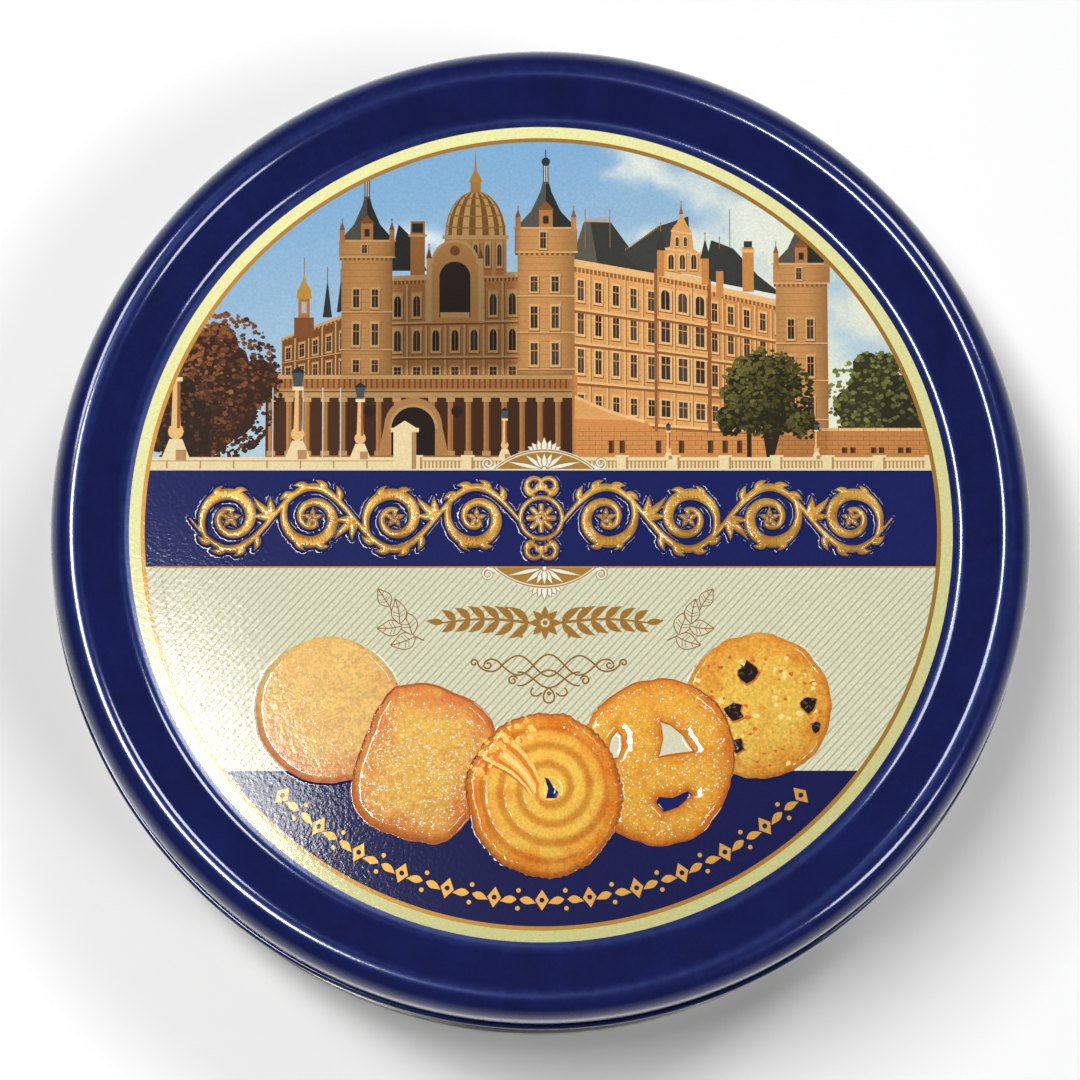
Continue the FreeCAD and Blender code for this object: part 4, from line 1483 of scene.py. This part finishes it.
def base_section():
    inner = WALL_RADIUS - 2 * METAL - FOLD_GAP
    hook = WALL_RADIUS + FOLD_GAP
    outer = WALL_RADIUS + 3 * METAL + 3 * FOLD_GAP
    step_inside = STEP_RADIUS - STEP_WIDTH
    under = [(0, BASE_SINK + STEP_RISE), (step_inside, BASE_SINK + STEP_RISE), (STEP_RADIUS, BASE_SINK)]
    under += arc(inner - BASE_BEND, BASE_SINK - BASE_BEND, BASE_BEND, 90, 0, 8)
    seam = arc(inner + METAL, METAL, METAL, 180, 270, 6)
    seam += arc(outer - SEAM_EDGE, SEAM_EDGE, SEAM_EDGE, 270, 360, 8)
    seam += arc(outer - SEAM_EDGE, SEAM_HEIGHT - SEAM_EDGE, SEAM_EDGE, 0, 90, 8)
    fold = [
        (hook, SEAM_HEIGHT),
        (hook, 2 * METAL + 2 * FOLD_GAP),
        (hook + METAL, 2 * METAL + 2 * FOLD_GAP),
        (hook + METAL, SEAM_HEIGHT - METAL),
        (outer - METAL, SEAM_HEIGHT - METAL),
        (outer - METAL, METAL),
        (inner + METAL, METAL),
    ]
    bend = BASE_BEND + METAL
    upper = arc(inner - BASE_BEND, BASE_SINK - BASE_BEND, bend, 0, 90, 8)
    upper += [(STEP_RADIUS, BASE_SINK + METAL), (step_inside, BASE_SINK + STEP_RISE + METAL),
              (0, BASE_SINK + STEP_RISE + METAL)]
    return stretch(under + seam + fold, 0) + stretch(upper, 1)


# ---------------------------------------------------------------- stage, lights and camera
def direction(azimuth, elevation):
    """Unit vector that points away from the tin."""
    turn, rise = math.radians(azimuth), math.radians(elevation)
    return Vector((math.cos(rise) * math.cos(turn), math.cos(rise) * math.sin(turn), math.sin(rise)))


def put_light(data, place, turn):
    light = bpy.data.objects.new(data.name, data)
    bpy.context.scene.collection.objects.link(light)
    light.matrix_world = Matrix.Translation(place) @ turn.to_4x4()


def overhead_light(name, x, y, heading, width, length, power):
    """Level softbox 1.2 m above the lid; its width points along heading."""
    data = bpy.data.lights.new(name, "AREA")
    data.shape = "RECTANGLE"
    data.size = width
    data.size_y = length
    data.energy = power
    put_light(data, (x, y, PANEL * MM + 1.2), Matrix.Rotation(math.radians(heading), 4, "Z"))


def distant_light(name, azimuth, elevation, spread, strength):
    """Softbox far away: spread is how wide it looks, in degrees."""
    data = bpy.data.lights.new(name, "SUN")
    data.angle = math.radians(spread)
    data.energy = strength
    out = direction(azimuth, elevation)
    put_light(data, out, out.to_track_quat("Z", "Y").to_matrix())


def studio_world():
    """Surroundings that are pale near the horizon and dim overhead."""
    world = bpy.data.worlds.new("studio")
    world.use_nodes = True
    tree = world.node_tree
    height = tree.nodes.new("ShaderNodeSeparateXYZ")
    tree.links.new(tree.nodes.new("ShaderNodeTexCoord").outputs["Generated"], height.inputs["Vector"])
    background = set_sockets(tree.nodes["Background"], Color=(0.93, 0.96, 1.0, 1))
    tree.links.new(ramp(tree, height.outputs["Z"], 0.04, 0.42, 0.66, 0.08), background.inputs["Strength"])
    bpy.context.scene.world = world


def main_camera():
    """Nearly overhead, from a little in front of the tin and to its left; the band stays level."""
    data = bpy.data.cameras.new("photo_view")
    data.sensor_width = 36
    data.lens = 157.2
    camera = bpy.data.objects.new("photo_view", data)
    bpy.context.scene.collection.objects.link(camera)
    target = Vector((-0.0003, -0.0026, TOP * MM))
    out = direction(265, 81.8)
    right = (Vector((1, 0, 0)) - out * out.x).normalized()
    turn = Matrix((right, out.cross(right), out)).transposed()
    camera.matrix_world = Matrix.Translation(target + 0.9 * out) @ turn.to_4x4()
    bpy.context.scene.camera = camera


def build():
    navy = navy_lacquer("navy_lacquer")
    inside = gold_lacquer("gold_lacquer")
    bare = tinplate("tinplate")

    inks = [
        ink_material("picture_ink", 0.35, 0.0, 0.4, 0.1),
        ink_material("gold_ink", 0.32, 0.25, 0.6, 0.08),
        ink_material("biscuit_ink", 0.4, 0.0, 0.42, 0.2),
    ]
    for print_part in (print_picture, print_band, print_field, print_ring):
        print_part(inks)
    lid = lathe("lid_shell", lid_section(), [navy, inside], under_relief)
    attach(lid, "lid")
    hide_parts("lid")

    wall = lathe("tin_wall", wall_section(), [navy, inside, bare])
    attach(wall, "tin")
    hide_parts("wall")

    lap_seam(inside)
    wall_print(gold_print("wall_gold"))

    base = lathe("tin_base", base_section(), [bare, inside])
    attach(base, "tin")
    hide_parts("base")

    floor_mesh = bpy.data.meshes.new("floor")
    side = 3.0
    floor_mesh.from_pydata([(-side, -side, 0), (side, -side, 0), (side, side, 0), (-side, side, 0)], [],
                           [(0, 1, 2, 3)])
    floor = new_object("floor", floor_mesh)
    paper, _, _ = principled("pale_floor", (0.94, 0.94, 0.935), 0.7)
    floor_mesh.materials.append(paper)


build()
main_camera()
overhead_light("window", -0.236, 0.083, 213.7, 0.140, 0.40, 7.4)
overhead_light("window_sill", -0.126, 0.083, 213.7, 0.034, 0.12, 0.15)
distant_light("left_softbox", 140, 61, 13, 0.62)
distant_light("right_softbox", 330, 61, 13, 0.62)
distant_light("back_softbox", 50, 61, 12, 0.62)
studio_world()
bpy.context.scene.view_settings.view_transform = "Standard"
